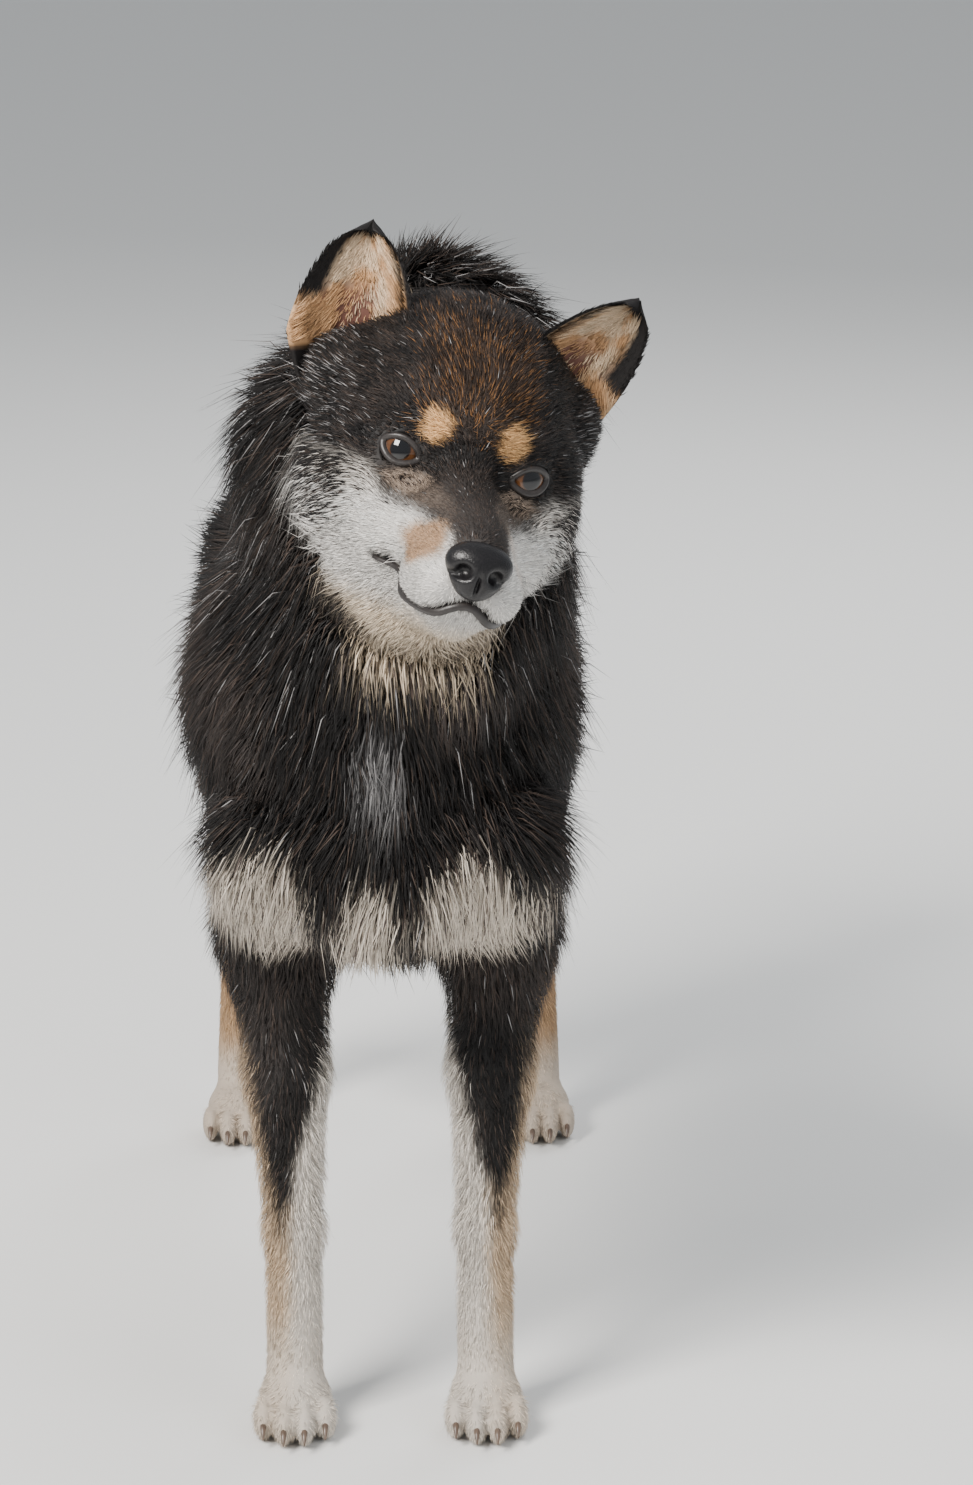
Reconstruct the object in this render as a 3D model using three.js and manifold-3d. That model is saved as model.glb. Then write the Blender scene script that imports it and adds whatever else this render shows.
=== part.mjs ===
// A shiba inu standing still, life size, in millimetres.
// The dog looks along -Y, its left side is +X and +Z is up. Until the last lines, the origin is on the
// floor between the forepaws; there the group is moved so that the origin is the middle of its footprint.
import * as THREE from "three";
import { mergeVertices } from "three/addons/utils/BufferGeometryUtils.js";
import Module from "manifold-3d";

// Driving dimensions of the dog
const WITHERS_HEIGHT = 402;
const CHEST_WIDTH = 174;
const CHEST_DEPTH = 196;
const BODY_LENGTH = 440;
const FRONT_STANCE = 86;
const HIND_STANCE = 160;
const WHEELBASE = 388;
const PAW_WIDTH = 38;
const TAIL_RADIUS = 24;

// Where the head is held, and how it is turned, in degrees
const EYES_AT = [32, -86, 456];
const HEAD_YAW = 9;
const HEAD_PITCH = -3;
const HEAD_ROLL = 15.5;

// Sizes of the head, in its own frame: origin midway between the eyes, nose along -Y
const EYE_SPACING = 50;
const EYEBALL_RADIUS = 10.5;
const EYE_OPENING = [17, 11.5];
const NOSE_TIP = -89;
const NOSE_WIDTH = 28;
const EAR_LENGTH = 74;
const EAR_WIDTH = 52;

// Making of the solids
const GAP = 0.3;
const FINE = 7.6;
const COARSE = 19;
const SIDES = [-1, 1];
const SIDE_NAME = { "-1": "right", 1: "left" };

const wasm = await Module();
wasm.setup();

// Vectors as plain triples
const add = (a, b, k = 1) => [a[0] + k * b[0], a[1] + k * b[1], a[2] + k * b[2]];
const sub = (a, b) => add(a, b, -1);
const scaled = (a, k) => [a[0] * k, a[1] * k, a[2] * k];
const dot = (a, b) => a[0] * b[0] + a[1] * b[1] + a[2] * b[2];
const cross = (a, b) => [
  a[1] * b[2] - a[2] * b[1],
  a[2] * b[0] - a[0] * b[2],
  a[0] * b[1] - a[1] * b[0],
];
const length = (a) => Math.hypot(a[0], a[1], a[2]);
const unit = (a) => scaled(a, 1 / length(a));
const mix = (a, b, t) => a + (b - a) * t;
const rad = THREE.MathUtils.degToRad;

// Rounded masses of flesh, each a function that is negative inside, and their soft joining
function egg(at, radii) {
  return (p) => {
    const q = sub(p, at);
    const near = Math.hypot(q[0] / radii[0], q[1] / radii[1], q[2] / radii[2]);
    const slope = Math.hypot(q[0] / radii[0] ** 2, q[1] / radii[1] ** 2, q[2] / radii[2] ** 2);
    return slope > 0 ? (near * (near - 1)) / slope : -Math.min(...radii);
  };
}

function limb(a, b, ra, rb) {
  const axis = sub(b, a);
  const l2 = dot(axis, axis);
  const rr = ra - rb;
  const a2 = l2 - rr * rr;
  return (p) => {
    const pa = sub(p, a);
    const y = dot(pa, axis);
    const z = y - l2;
    const x2 = dot(sub(scaled(pa, l2), scaled(axis, y)), sub(scaled(pa, l2), scaled(axis, y)));
    const y2 = y * y * l2;
    const z2 = z * z * l2;
    const k = Math.sign(rr) * rr * rr * x2;
    if (Math.sign(z) * a2 * z2 > k) return Math.sqrt(x2 + z2) / l2 - rb;
    if (Math.sign(y) * a2 * y2 < k) return Math.sqrt(x2 + y2) / l2 - ra;
    return (Math.sqrt((x2 * a2) / l2) + y * rr) / l2 - ra;
  };
}

function melt(a, b, soft) {
  const h = Math.max(soft - Math.abs(a - b), 0) / soft;
  return Math.min(a, b) - h * h * soft * 0.25;
}

// Joins [soft, mass] pairs in turn; a mass with a negative softness is hollowed out instead
function meltAll(masses) {
  return (p) => {
    let d = 1e3;
    for (const [soft, mass] of masses) {
      if (soft > 0) d = melt(d, mass(p), soft);
      else d = -melt(-d, mass(p), -soft);
    }
    return d;
  };
}

// The head's frame within the dog
const headTurn = new THREE.Euler(rad(HEAD_PITCH), rad(HEAD_ROLL), rad(HEAD_YAW), "ZXY");
const headMatrix = new THREE.Matrix4().makeRotationFromEuler(headTurn).setPosition(...EYES_AT);
const headInverse = headMatrix.clone().invert();
const moved = (matrix, p) => new THREE.Vector3(...p).applyMatrix4(matrix).toArray();

// Trunk
const backHeight = WITHERS_HEIGHT - 14;
const chestMiddle = backHeight - CHEST_DEPTH / 2 + 6;
const rumpEnd = BODY_LENGTH - 48;
const trunk = [
  [30, egg([0, 98, chestMiddle], [CHEST_WIDTH / 2 - 1, 148, CHEST_DEPTH / 2 - 4])],
  [30, egg([0, 238, backHeight - 72], [68, 118, 66])],
  [30, egg([0, rumpEnd - 72, backHeight - 62], [74, 72, 64])],
  [26, egg([0, 42, WITHERS_HEIGHT - 36], [44, 72, 36])],
  [26, egg([0, -38, 271], [50, 40, 46])],
];

// Neck, with the thick ruff of its coat
const neckRoot = [-5, 8, 338];
const neckTop = [15, -20, 424];
const neck = [
  [34, limb(neckRoot, neckTop, 85, 62)],
  [24, egg([12, -52, 372], [50, 34, 46])],
  [22, egg([-2, 6, 438], [70, 58, 68])],
  [22, egg([22, -10, 396], [62, 54, 52])],
];

// Legs of one side
function foreleg(s) {
  const x = (s * FRONT_STANCE) / 2;
  const shoulder = [s * 50, -32, 280];
  const elbow = [s * 49, 26, 222];
  const midArm = [x + s * 3, 14, 158];
  const wrist = [x, 0, 88];
  const pastern = [x, -7, 30];
  return [
    [26, egg([s * 42, 26, 336], [42, 56, 66])],
    [22, limb(shoulder, elbow, 34, 27)],
    [20, limb(elbow, midArm, 26, 20.5)],
    [10, limb(midArm, wrist, 20.5, 14.5)],
    [8, limb(wrist, pastern, 14.5, 14)],
  ];
}

function hindleg(s) {
  const x = (s * HIND_STANCE) / 2;
  const hip = [s * 44, rumpEnd - 62, 318];
  const knee = [s * 62, 292, 226];
  const hock = [x - s * 3, WHEELBASE + 22, 118];
  const pastern = [x, WHEELBASE + 3, 30];
  return [
    [26, limb(hip, knee, 52, 33)],
    [24, egg([s * 56, rumpEnd - 72, 280], [33, 56, 62])],
    [20, egg([s * 65, 330, 196], [23, 40, 44])],
    [18, limb(knee, hock, 28, 14)],
    [8, limb(add(hock, [0, 4, 2]), pastern, 13.5, 12.5)],
    [8, egg(add(hock, [0, 10, 4]), [9, 10, 12])],
  ];
}

// A paw: the pad's mass and four toes, the middle two reaching furthest
function paw(x, y) {
  const toeSpacing = PAW_WIDTH / 4.1;
  const toes = [-1.5, -0.5, 0.5, 1.5].map((i) => {
    const reach = Math.abs(i) < 1 ? 24 : 17;
    return [2.4, egg([x + i * toeSpacing, y - reach, 9], [6, 13, 10.5])];
  });
  return [[9, egg([x, y - 2, 13], [PAW_WIDTH / 2 - 1.5, 22, 14.5])], ...toes];
}

// Head: skull, brow, cheeks, muzzle and the fur under the jaw, in the head's frame
const bridgeTop = -12;
const headMasses = [
  [12, egg([0, 52, 15], [55, 58, 53])],
  [14, egg([0, 14, 16], [36, 30, 32])],
  ...SIDES.map((s) => [16, egg([s * 35, 40, -17], [29, 42, 40])]),
  ...SIDES.map((s) => [12, egg([s * 49, 52, 19], [19, 20, 21])]),
  ...SIDES.map((s) => [18, egg([s * 22, 4, -30], [24, 34, 24])]),
  [16, egg([0, 34, -58], [44, 46, 34])],
  [16, limb([0, -2, -26], [0, -63, -35], 28, 19.5)],
  [10, limb([0, 0, bridgeTop], [0, -74, -25], 15, 10)],
  [10, limb([0, 10, -50], [0, -58, -54], 24, 12)],
  ...SIDES.map((s) => [8, egg([s * 12, -57, -42], [14, 25, 14])]),
  ...SIDES.map((s) => [9, egg([s * 21, 4, 16], [14, 12, 8])]),
  ...SIDES.map((s) => [-9, egg([s * 27, -17, -4], [11, 10, 9])]),
];

const headShape = meltAll(headMasses);
const bodyShape = meltAll([
  ...trunk,
  ...neck,
  ...SIDES.flatMap((s) => [...foreleg(s), ...hindleg(s)]),
  ...SIDES.flatMap((s) => [
    ...paw((s * FRONT_STANCE) / 2, -12),
    ...paw((s * HIND_STANCE) / 2, WHEELBASE - 6),
  ]),
]);
const flesh = (p) => melt(bodyShape(p), headShape(moved(headInverse, p)), 20);
const fleshFromHead = (q) => flesh(moved(headMatrix, q));

function slope(shape, p) {
  const h = 0.5;
  return unit([
    shape([p[0] + h, p[1], p[2]]) - shape([p[0] - h, p[1], p[2]]),
    shape([p[0], p[1] + h, p[2]]) - shape([p[0], p[1] - h, p[2]]),
    shape([p[0], p[1], p[2] + h]) - shape([p[0], p[1], p[2] - h]),
  ]);
}

// The nearest place on a shape's surface along its slope, at a height above it
function ontoSurface(shape, p, height = 0) {
  let q = p;
  for (let i = 0; i < 12; i++) q = add(q, slope(shape, q), height - shape(q));
  return q;
}

// Meshes a shape within a box: one point for each cell that the surface crosses, then drawn onto it
function skinOf(shape, low, high, cell, level = 0) {
  const size = low.map((v, i) => Math.ceil((high[i] - v) / cell) + 1);
  const at = (i, j, k) => [low[0] + i * cell, low[1] + j * cell, low[2] + k * cell];
  const index = (i, j, k) => (k * size[1] + j) * size[0] + i;
  const values = new Float32Array(size[0] * size[1] * size[2]);
  for (let k = 0; k < size[2]; k++)
    for (let j = 0; j < size[1]; j++)
      for (let i = 0; i < size[0]; i++) {
        const edge = [i, j, k].some((v, axis) => v === 0 || v === size[axis] - 1);
        const value = shape(at(i, j, k)) - level;
        values[index(i, j, k)] = edge ? Math.max(value, cell / 2) : value;
      }
  const positions = [];
  const cellPoint = new Map();
  const corners = [0, 1, 2, 3, 4, 5, 6, 7].map((c) => [c & 1, (c >> 1) & 1, (c >> 2) & 1]);
  const edges = corners.flatMap((a, i) =>
    corners.slice(i + 1).filter((b) => length(sub(a, b)) === 1).map((b) => [a, b]),
  );
  for (let k = 0; k < size[2] - 1; k++)
    for (let j = 0; j < size[1] - 1; j++)
      for (let i = 0; i < size[0] - 1; i++) {
        let sum = [0, 0, 0];
        let count = 0;
        for (const [a, b] of edges) {
          const va = values[index(i + a[0], j + a[1], k + a[2])];
          const vb = values[index(i + b[0], j + b[1], k + b[2])];
          if (va < 0 === vb < 0) continue;
          const t = va / (va - vb);
          sum = add(sum, add(scaled(a, 1 - t), b, t));
          count++;
        }
        if (!count) continue;
        const start = add(at(i, j, k), scaled(sum, cell / count));
        let p = start;
        for (let n = 0; n < 3; n++) p = add(p, slope(shape, p), level - shape(p));
        const drift = length(sub(p, start));
        const inside = drift < cell * 0.6;
        cellPoint.set(index(i, j, k), positions.length / 3);
        positions.push(...(inside ? p : start));
      }
  const triangles = [];
  const point = (n) => positions.slice(3 * n, 3 * n + 3);
  const steps = [
    [1, 0, 0],
    [0, 1, 0],
    [0, 0, 1],
  ];
  for (let k = 0; k < size[2] - 1; k++)
    for (let j = 0; j < size[1] - 1; j++)
      for (let i = 0; i < size[0] - 1; i++)
        steps.forEach((step, axis) => {
          if ([i, j, k].some((v, other) => v === 0 && other !== axis)) return;
          const here = values[index(i, j, k)] < 0;
          const there = values[index(i + step[0], j + step[1], k + step[2])] < 0;
          if (here === there) return;
          const side = steps[(axis + 1) % 3];
          const up = steps[(axis + 2) % 3];
          const ring = [
            [0, 0],
            [1, 0],
            [1, 1],
            [0, 1],
          ].map(([m, n]) =>
            cellPoint.get(
              index(i - m * side[0] - n * up[0], j - m * side[1] - n * up[1], k - m * side[2] - n * up[2]),
            ),
          );
          if (!here) ring.reverse();
          const [a, b, c, d] = ring;
          const short = length(sub(point(a), point(c))) < length(sub(point(b), point(d)));
          if (short) triangles.push(a, b, c, a, c, d);
          else triangles.push(a, b, d, b, c, d);
        });
  return closedGeometry(positions, triangles);
}

function closedGeometry(positions, triangles) {
  const geometry = new THREE.BufferGeometry();
  geometry.setAttribute("position", new THREE.Float32BufferAttribute(positions, 3));
  geometry.setIndex(triangles);
  return geometry;
}

// Solids for joining and cutting
function solidOf(source, matrix) {
  const geometry = source.clone();
  geometry.deleteAttribute("normal");
  geometry.deleteAttribute("uv");
  if (matrix) geometry.applyMatrix4(matrix);
  const merged = mergeVertices(geometry, 1e-3);
  return new wasm.Manifold(
    new wasm.Mesh({
      numProp: 3,
      vertProperties: new Float32Array(merged.attributes.position.array),
      triVerts: new Uint32Array(merged.index.array),
    }),
  );
}

function largest(solid) {
  return solid.decompose().reduce((a, b) => (b.volume() > a.volume() ? b : a));
}

const group = new THREE.Group();
const furBlack = { color: 0x1d1a19, roughness: 0.85, metalness: 0 };
const furCream = { color: 0xe6d3ba, roughness: 0.85, metalness: 0 };
const leather = { color: 0x0c0b0c, roughness: 0.35, metalness: 0 };
const eyeBrown = { color: 0x3a1d0e, roughness: 0.1, metalness: 0 };

// Draws together the ends of edges too short to matter, which cutting leaves behind
function withoutSlivers(positions, triangles, shortest) {
  const point = (n) => positions.slice(3 * n, 3 * n + 3);
  const faces = [];
  for (let i = 0; i < triangles.length; i += 3) faces.push(triangles.slice(i, i + 3));
  const around = new Map();
  const reach = (n) => around.get(n) ?? around.set(n, new Set()).get(n);
  for (const face of faces) for (const n of face) reach(n).add(face);
  const neighbours = (n) => new Set([...reach(n)].flat().filter((m) => m !== n));
  for (const face of faces)
    for (let i = 0; i < 3; i++) {
      const [keep, drop] = [face[i], face[(i + 1) % 3]];
      if (keep === drop || !reach(keep).has(face)) continue;
      if (length(sub(point(keep), point(drop))) > shortest) continue;
      const shared = [...neighbours(keep)].filter((m) => neighbours(drop).has(m));
      if (shared.length !== 2) continue;
      for (const other of [...reach(drop)]) {
        if (other.includes(keep)) for (const n of [...other]) reach(n).delete(other);
        else {
          other[other.indexOf(drop)] = keep;
          reach(keep).add(other);
        }
      }
      around.delete(drop);
    }
  return faces.filter((face) => face.every((n) => around.get(n)?.has(face)));
}

// Turns the shared edge of any pair of faces in which one is thinner than a hair
function withoutNeedles(positions, faces, thinnest) {
  const point = (n) => positions.slice(3 * n, 3 * n + 3);
  for (let round = 0; round < 4; round++) {
    const across = new Map();
    const spin = (face, i) => [face[i], face[(i + 1) % 3], face[(i + 2) % 3]];
    for (const face of faces)
      for (const i of [0, 1, 2]) across.set(spin(face, i).slice(0, 2).join(), face);
    const turnedOver = new Set();
    for (const face of faces) {
      const sides = [0, 1, 2].map((i) => spin(face, i));
      const span = ([a, b]) => length(sub(point(a), point(b)));
      const [a, b, c] = sides.reduce((m, side) => (span(side) > span(m) ? side : m));
      const twice = length(cross(sub(point(b), point(a)), sub(point(c), point(a))));
      const other = across.get([b, a].join());
      if (twice / span([a, b]) > thinnest || turnedOver.has(face) || turnedOver.has(other)) continue;
      const d = other.find((n) => n !== a && n !== b);
      if (across.has([c, d].join()) || across.has([d, c].join())) continue;
      face.splice(0, 3, a, d, c);
      other.splice(0, 3, d, b, c);
      turnedOver.add(face).add(other);
    }
    if (!turnedOver.size) break;
  }
  return faces;
}

// Draws two folds of a skin that touch at a point a hair's breadth inward from each other
function keptApart(positions, faces) {
  const point = (n) => positions.slice(3 * n, 3 * n + 3);
  const places = new Map();
  for (const n of new Set(faces.flat())) {
    const key = point(n).map((v) => v.toFixed(2)).join();
    places.set(key, [...(places.get(key) ?? []), n]);
  }
  const touching = [...places.values()].filter((group) => group.length > 1).flat();
  const drawn = touching.map((n) => {
    const normals = faces
      .filter((face) => face.includes(n))
      .map(([a, b, c]) => unit(cross(sub(point(b), point(a)), sub(point(c), point(a)))));
    return add(point(n), unit(normals.reduce((a, b) => add(a, b))), -0.05);
  });
  touching.forEach((n, i) => drawn[i].forEach((v, axis) => (positions[3 * n + axis] = v)));
  return closedGeometry(positions, faces.flat());
}

function place(name, solid, finish) {
  const mesh = largest(solid).getMesh();
  const points = [...mesh.vertProperties];
  const faces = withoutNeedles(points, withoutSlivers(points, [...mesh.triVerts], 0.3), 0.06);
  const geometry = keptApart(points, faces);
  const part = new THREE.Mesh(geometry, new THREE.MeshStandardMaterial(finish));
  part.name = name;
  group.add(part);
}

// Flat cuts between neighbouring nodes: a point and the direction that one side lies in
const CUT = {
  nape: cutPlane(moved(headMatrix, [0, 92, 52]), turned([0, -0.85, 0.53])),
  neckRoot: cutPlane([0, 24, WITHERS_HEIGHT], [0, -0.8, 0.6]),
  elbow: cutPlane([0, 0, 197], [0, 0, -1]),
  wrist: cutPlane([0, 0, 74], [0, 0, -1]),
  stifle: cutPlane([0, 0, 230], [0, 0, -1]),
  hock: cutPlane([0, 0, 118], [0, 0, -1]),
  hindPaw: cutPlane([0, 0, 44], [0, 0, -1]),
};

function turned(direction) {
  return new THREE.Vector3(...direction).applyEuler(headTurn).toArray();
}

function cutPlane(at, direction) {
  const normal = unit(direction);
  return { normal, offset: dot(normal, at) };
}

const ahead = (solid, { normal, offset }) => solid.trimByPlane(normal, offset + GAP / 2);
const behind = (solid, { normal, offset }) =>
  solid.trimByPlane(scaled(normal, -1), GAP / 2 - offset);
const floorFlat = (solid) => solid.trimByPlane([0, 0, 1], 0);

// A block with a rounded outline seen from the side, on one side of the trunk: it parts a leg's top
function legBlock(outline, inner, s, grow) {
  const shape = new THREE.Shape();
  const turns = 20;
  for (let i = 0; i < turns; i++) {
    const a = (2 * Math.PI * i) / turns;
    const y = outline.at[0] + (outline.radii[0] + grow) * Math.cos(a);
    const z = outline.at[1] + (outline.radii[1] + grow) * Math.sin(a);
    if (i) shape.lineTo(y, z);
    else shape.moveTo(y, z);
  }
  const block = new THREE.ExtrudeGeometry(shape, { depth: 120, bevelEnabled: false });
  const stand = new THREE.Matrix4().set(0, 0, 1, inner - grow, 1, 0, 0, 0, 0, 1, 0, 0, 0, 0, 0, 1);
  const solid = solidOf(block, stand);
  return s > 0 ? solid : solid.mirror([1, 0, 0]);
}

const shoulderBlock = { at: [4, 258], radii: [58, 92] };
const thighBlock = { at: [322, 268], radii: [66, 84] };

// Tail: a curl over the back in three lengths, its root sunk in the rump
const tailCurve = new THREE.CatmullRomCurve3(
  [
    [0, 356, 350],
    [0, 396, 386],
    [5, 402, 420],
    [20, 374, 448],
    [46, 328, 450],
    [72, 292, 428],
    [88, 294, 398],
  ].map((p) => new THREE.Vector3(...p)),
);
const TAIL_STEPS = 18;

function tailRadius(t) {
  const swell = 0.86 + 0.5 * Math.sin(Math.PI * Math.min(t * 0.9 + 0.12, 1));
  const end = t > 0.9 ? Math.sqrt(Math.max(0.1, (1 - t) / 0.1)) : 1;
  return TAIL_RADIUS * swell * end;
}

function tailLength(from, to, grow) {
  const around = 10;
  const points = [];
  for (let i = from; i <= to; i++) {
    const t = i / TAIL_STEPS;
    const along = tailCurve.getTangentAt(t).toArray();
    const out = unit(cross(along, [0.8, 0.1, 0.6]));
    const up = cross(out, along);
    const shift = (i === from ? GAP / 2 - grow : 0) + (i === to ? grow - GAP / 2 : 0);
    const at = add(tailCurve.getPointAt(t).toArray(), along, shift);
    for (let j = 0; j < around; j++) {
      const a = (2 * Math.PI * j) / around;
      const r = tailRadius(t) + grow;
      points.push(...add(add(at, out, r * Math.cos(a)), up, r * Math.sin(a)));
    }
  }
  return solidOf(tubeBetween(points, to - from, around));
}

const tailSpans = { tail_base: [1, 6], tail_middle: [6, 12], tail_tip: [12, TAIL_STEPS] };
for (const [name, [from, to]] of Object.entries(tailSpans)) {
  place(name, tailLength(from, to, 0), furBlack);
}

// Trunk and legs
const bodyHigh = [130, 470, 470];
let trunkSolid = solidOf(skinOf(flesh, [-130, -110, 150], bodyHigh, COARSE));
trunkSolid = behind(trunkSolid, CUT.neckRoot);
trunkSolid = behind(trunkSolid, CUT.elbow);
for (const s of SIDES) {
  trunkSolid = trunkSolid.subtract(legBlock(shoulderBlock, 30, s, GAP));
  trunkSolid = trunkSolid.subtract(legBlock(thighBlock, 20, s, GAP));
}
const belowBelly = new THREE.BoxGeometry(400, 400, 230).translate(0, 422, 115);
trunkSolid = trunkSolid.subtract(solidOf(belowBelly)).subtract(tailLength(1, 6, 2 * GAP));
place("torso", trunkSolid, furBlack);

for (const s of SIDES) {
  const side = SIDE_NAME[s];
  const foreX = s > 0 ? [0, 120] : [-120, 0];
  const upper = skinOf(flesh, [foreX[0], -110, 150], [foreX[1], 110, 400], 15);
  const shoulder = solidOf(upper).intersect(legBlock(shoulderBlock, 30, s, 0));
  place(`shoulder_${side}`, behind(behind(shoulder, CUT.elbow), CUT.neckRoot), furBlack);
  const lower = solidOf(skinOf(flesh, [foreX[0], -70, -14], [foreX[1], 80, 240], 10));
  place(`forearm_${side}`, behind(ahead(lower, CUT.elbow), CUT.wrist), furBlack);
  const foot = solidOf(skinOf(flesh, [foreX[0], -70, -8], [foreX[1], 40, 100], 6.4));
  place(`forepaw_${side}`, floorFlat(ahead(foot, CUT.wrist)), furCream);

  const hindX = s > 0 ? [4, 130] : [-130, -4];
  const hip = solidOf(skinOf(flesh, [hindX[0], 200, 180], [hindX[1], 470, 400], 15));
  const thigh = behind(hip.intersect(legBlock(thighBlock, 20, s, 0)), CUT.stifle);
  place(`thigh_${side}`, thigh, furBlack);
  const shank = solidOf(skinOf(flesh, [hindX[0], 223, 60], [hindX[1], 470, 280], 12));
  place(`shank_${side}`, behind(ahead(shank, CUT.stifle), CUT.hock), furCream);
  const pastern = solidOf(skinOf(flesh, [hindX[0], 320, 0], [hindX[1], 450, 160], 9));
  place(`hind_pastern_${side}`, behind(ahead(pastern, CUT.hock), CUT.hindPaw), furCream);
  const hindFoot = solidOf(skinOf(flesh, [hindX[0], 320, -8], [hindX[1], 450, 70], 6.4));
  place(`hind_paw_${side}`, floorFlat(ahead(hindFoot, CUT.hindPaw)), furCream);
}

// Neck
const neckSkin = solidOf(skinOf(flesh, [-120, -140, 230], [140, 140, 540], COARSE));
place("neck", behind(ahead(neckSkin, CUT.neckRoot), CUT.nape), furBlack);

// Head: its skin, cut open for the eyes, the mouth and the nose
const headLow = [-90, -105, -130];
const headHigh = [90, 150, 95];
const headSkin = (level) => solidOf(skinOf(fleshFromHead, headLow, headHigh, FINE, level));

// Eyes look forward and a little outward; each sits behind an almond opening with a rim of lid
const almond = (t) => {
  const lift = Math.sin(t) * (1 - 0.28 * Math.cos(t) ** 2);
  return [(EYE_OPENING[0] / 2) * Math.cos(t), (EYE_OPENING[1] / 2) * lift];
};
const eyeFrame = (s) => {
  const look = new THREE.Euler(rad(-4), 0, rad(s * 20), "ZXY");
  const slant = new THREE.Matrix4().makeRotationY(rad(-s * 12));
  return new THREE.Matrix4()
    .makeRotationFromEuler(look)
    .multiply(slant)
    .setPosition((s * EYE_SPACING) / 2, 2, 0);
};
const eyeball = new THREE.SphereGeometry(EYEBALL_RADIUS, 16, 10);
const socket = new THREE.SphereGeometry(EYEBALL_RADIUS + 2 * GAP, 16, 10);

function openingSolid() {
  const shape = new THREE.Shape();
  for (let i = 0; i < 14; i++) {
    const [x, z] = almond((2 * Math.PI * i) / 14);
    if (i) shape.lineTo(x, z);
    else shape.moveTo(x, z);
  }
  const bar = new THREE.ExtrudeGeometry(shape, { depth: 40, bevelEnabled: false });
  return bar.rotateX(Math.PI / 2);
}

function lidGeometry() {
  const points = [];
  for (let i = 0; i < 20; i++) {
    const [x, z] = almond((2 * Math.PI * i) / 20);
    const [wide, tall] = [x * 1.16, z * 1.22];
    const reach = EYEBALL_RADIUS + 1.1;
    points.push(new THREE.Vector3(wide, -Math.sqrt(reach ** 2 - wide ** 2 - tall ** 2), tall));
  }
  return new THREE.TubeGeometry(new THREE.CatmullRomCurve3(points, true), 16, 2, 5, true);
}

// Nose: broad leather with two nostrils that open to the sides
const noseShape = meltAll([
  [6, egg([0, NOSE_TIP + 9, -29], [NOSE_WIDTH / 2, 9.5, 9])],
  [6, egg([0, NOSE_TIP + 8, -36], [9, 8, 8])],
  ...SIDES.map((s) => [-2.5, egg([s * 7, NOSE_TIP + 0.5, -32.5], [3.6, 5, 3])]),
  ...SIDES.map((s) => [-2, egg([s * 12, NOSE_TIP + 4, -34.5], [4, 4, 1.5])]),
  [-2, egg([0, NOSE_TIP - 1, -41], [0.9, 4, 8])],
]);
const noseSkin = (level) =>
  solidOf(skinOf(noseShape, [-20, NOSE_TIP - 8, -52], [20, NOSE_TIP + 28, -12], 3.4, level));

// Mouth: a groove from below the nose back to the corners, with the edge of the lip above it
const mouthSide = [
  [4, -84, -50],
  [12, -73, -52],
  [21, -52, -51.5],
  [28, -34, -48.5],
  [32, -22, -44.5],
];
const mouthLine = [
  ...mouthSide.map(([x, y, z]) => [-x, y, z]).reverse(),
  [0, -87, -49],
  ...mouthSide,
].map((p) => new THREE.Vector3(...ontoSurface(headShape, p)));

function alongMouth(radius, lift, from, to) {
  const points = mouthLine.slice(from, to).map((p) => p.clone().add(new THREE.Vector3(0, 0, lift)));
  return new THREE.TubeGeometry(new THREE.CatmullRomCurve3(points), 18, radius, 5, false);
}

function tubeSolid(tube) {
  const rows = tube.parameters.tubularSegments;
  const around = tube.parameters.radialSegments;
  const points = [];
  const source = tube.attributes.position;
  for (let i = 0; i <= rows; i++)
    for (let j = 0; j < around; j++) {
      const n = i * (around + 1) + j;
      points.push(source.getX(n), source.getY(n), source.getZ(n));
    }
  return solidOf(tubeBetween(points, rows, around));
}

// A closed skin over rings of points, all with the same count, and flat at both ends
function tubeBetween(points, rows, around) {
  const positions = [...points];
  const middleOf = (row) => {
    let sum = [0, 0, 0];
    for (let j = 0; j < around; j++) sum = add(sum, points.slice(3 * (row * around + j), 3 * (row * around + j) + 3));
    return scaled(sum, 1 / around);
  };
  positions.push(...middleOf(0), ...middleOf(rows));
  const low = points.length / 3;
  const triangles = [];
  for (let i = 0; i < rows; i++)
    for (let j = 0; j < around; j++) {
      const k = (j + 1) % around;
      const [a, b, c, d] = [i * around + j, i * around + k, (i + 1) * around + k, (i + 1) * around + j];
      triangles.push(a, b, c, a, c, d);
    }
  for (let j = 0; j < around; j++) {
    const k = (j + 1) % around;
    triangles.push(low, k, j, low + 1, rows * around + j, rows * around + k);
  }
  return outward(closedGeometry(positions, triangles));
}

// Turns a closed skin the right way out
function outward(geometry) {
  if (solidOf(geometry).volume() > 0) return geometry;
  geometry.setIndex([...geometry.index.array].reverse());
  return geometry;
}

let headSolid = headSkin(0);
for (const s of SIDES) {
  const lid = tubeClosed(lidGeometry());
  headSolid = headSolid.add(solidOf(lid, eyeFrame(s)));
}
for (const s of SIDES) {
  headSolid = headSolid.subtract(solidOf(openingSolid(), eyeFrame(s)));
  headSolid = headSolid.subtract(solidOf(socket, eyeFrame(s)));
}
headSolid = headSolid.add(tubeSolid(alongMouth(2.4, 2.6, 1, 10)));
headSolid = headSolid.subtract(tubeSolid(alongMouth(1.7, 0, 0, 11)));
headSolid = headSolid.subtract(noseSkin(GAP));
headSolid = ahead(headSolid.transform(headMatrix.elements), CUT.nape);

function tubeClosed(tube) {
  return outward(mergeVertices(stripped(tube), 1e-3));
}

function stripped(geometry) {
  geometry.deleteAttribute("normal");
  geometry.deleteAttribute("uv");
  return geometry;
}

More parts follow.
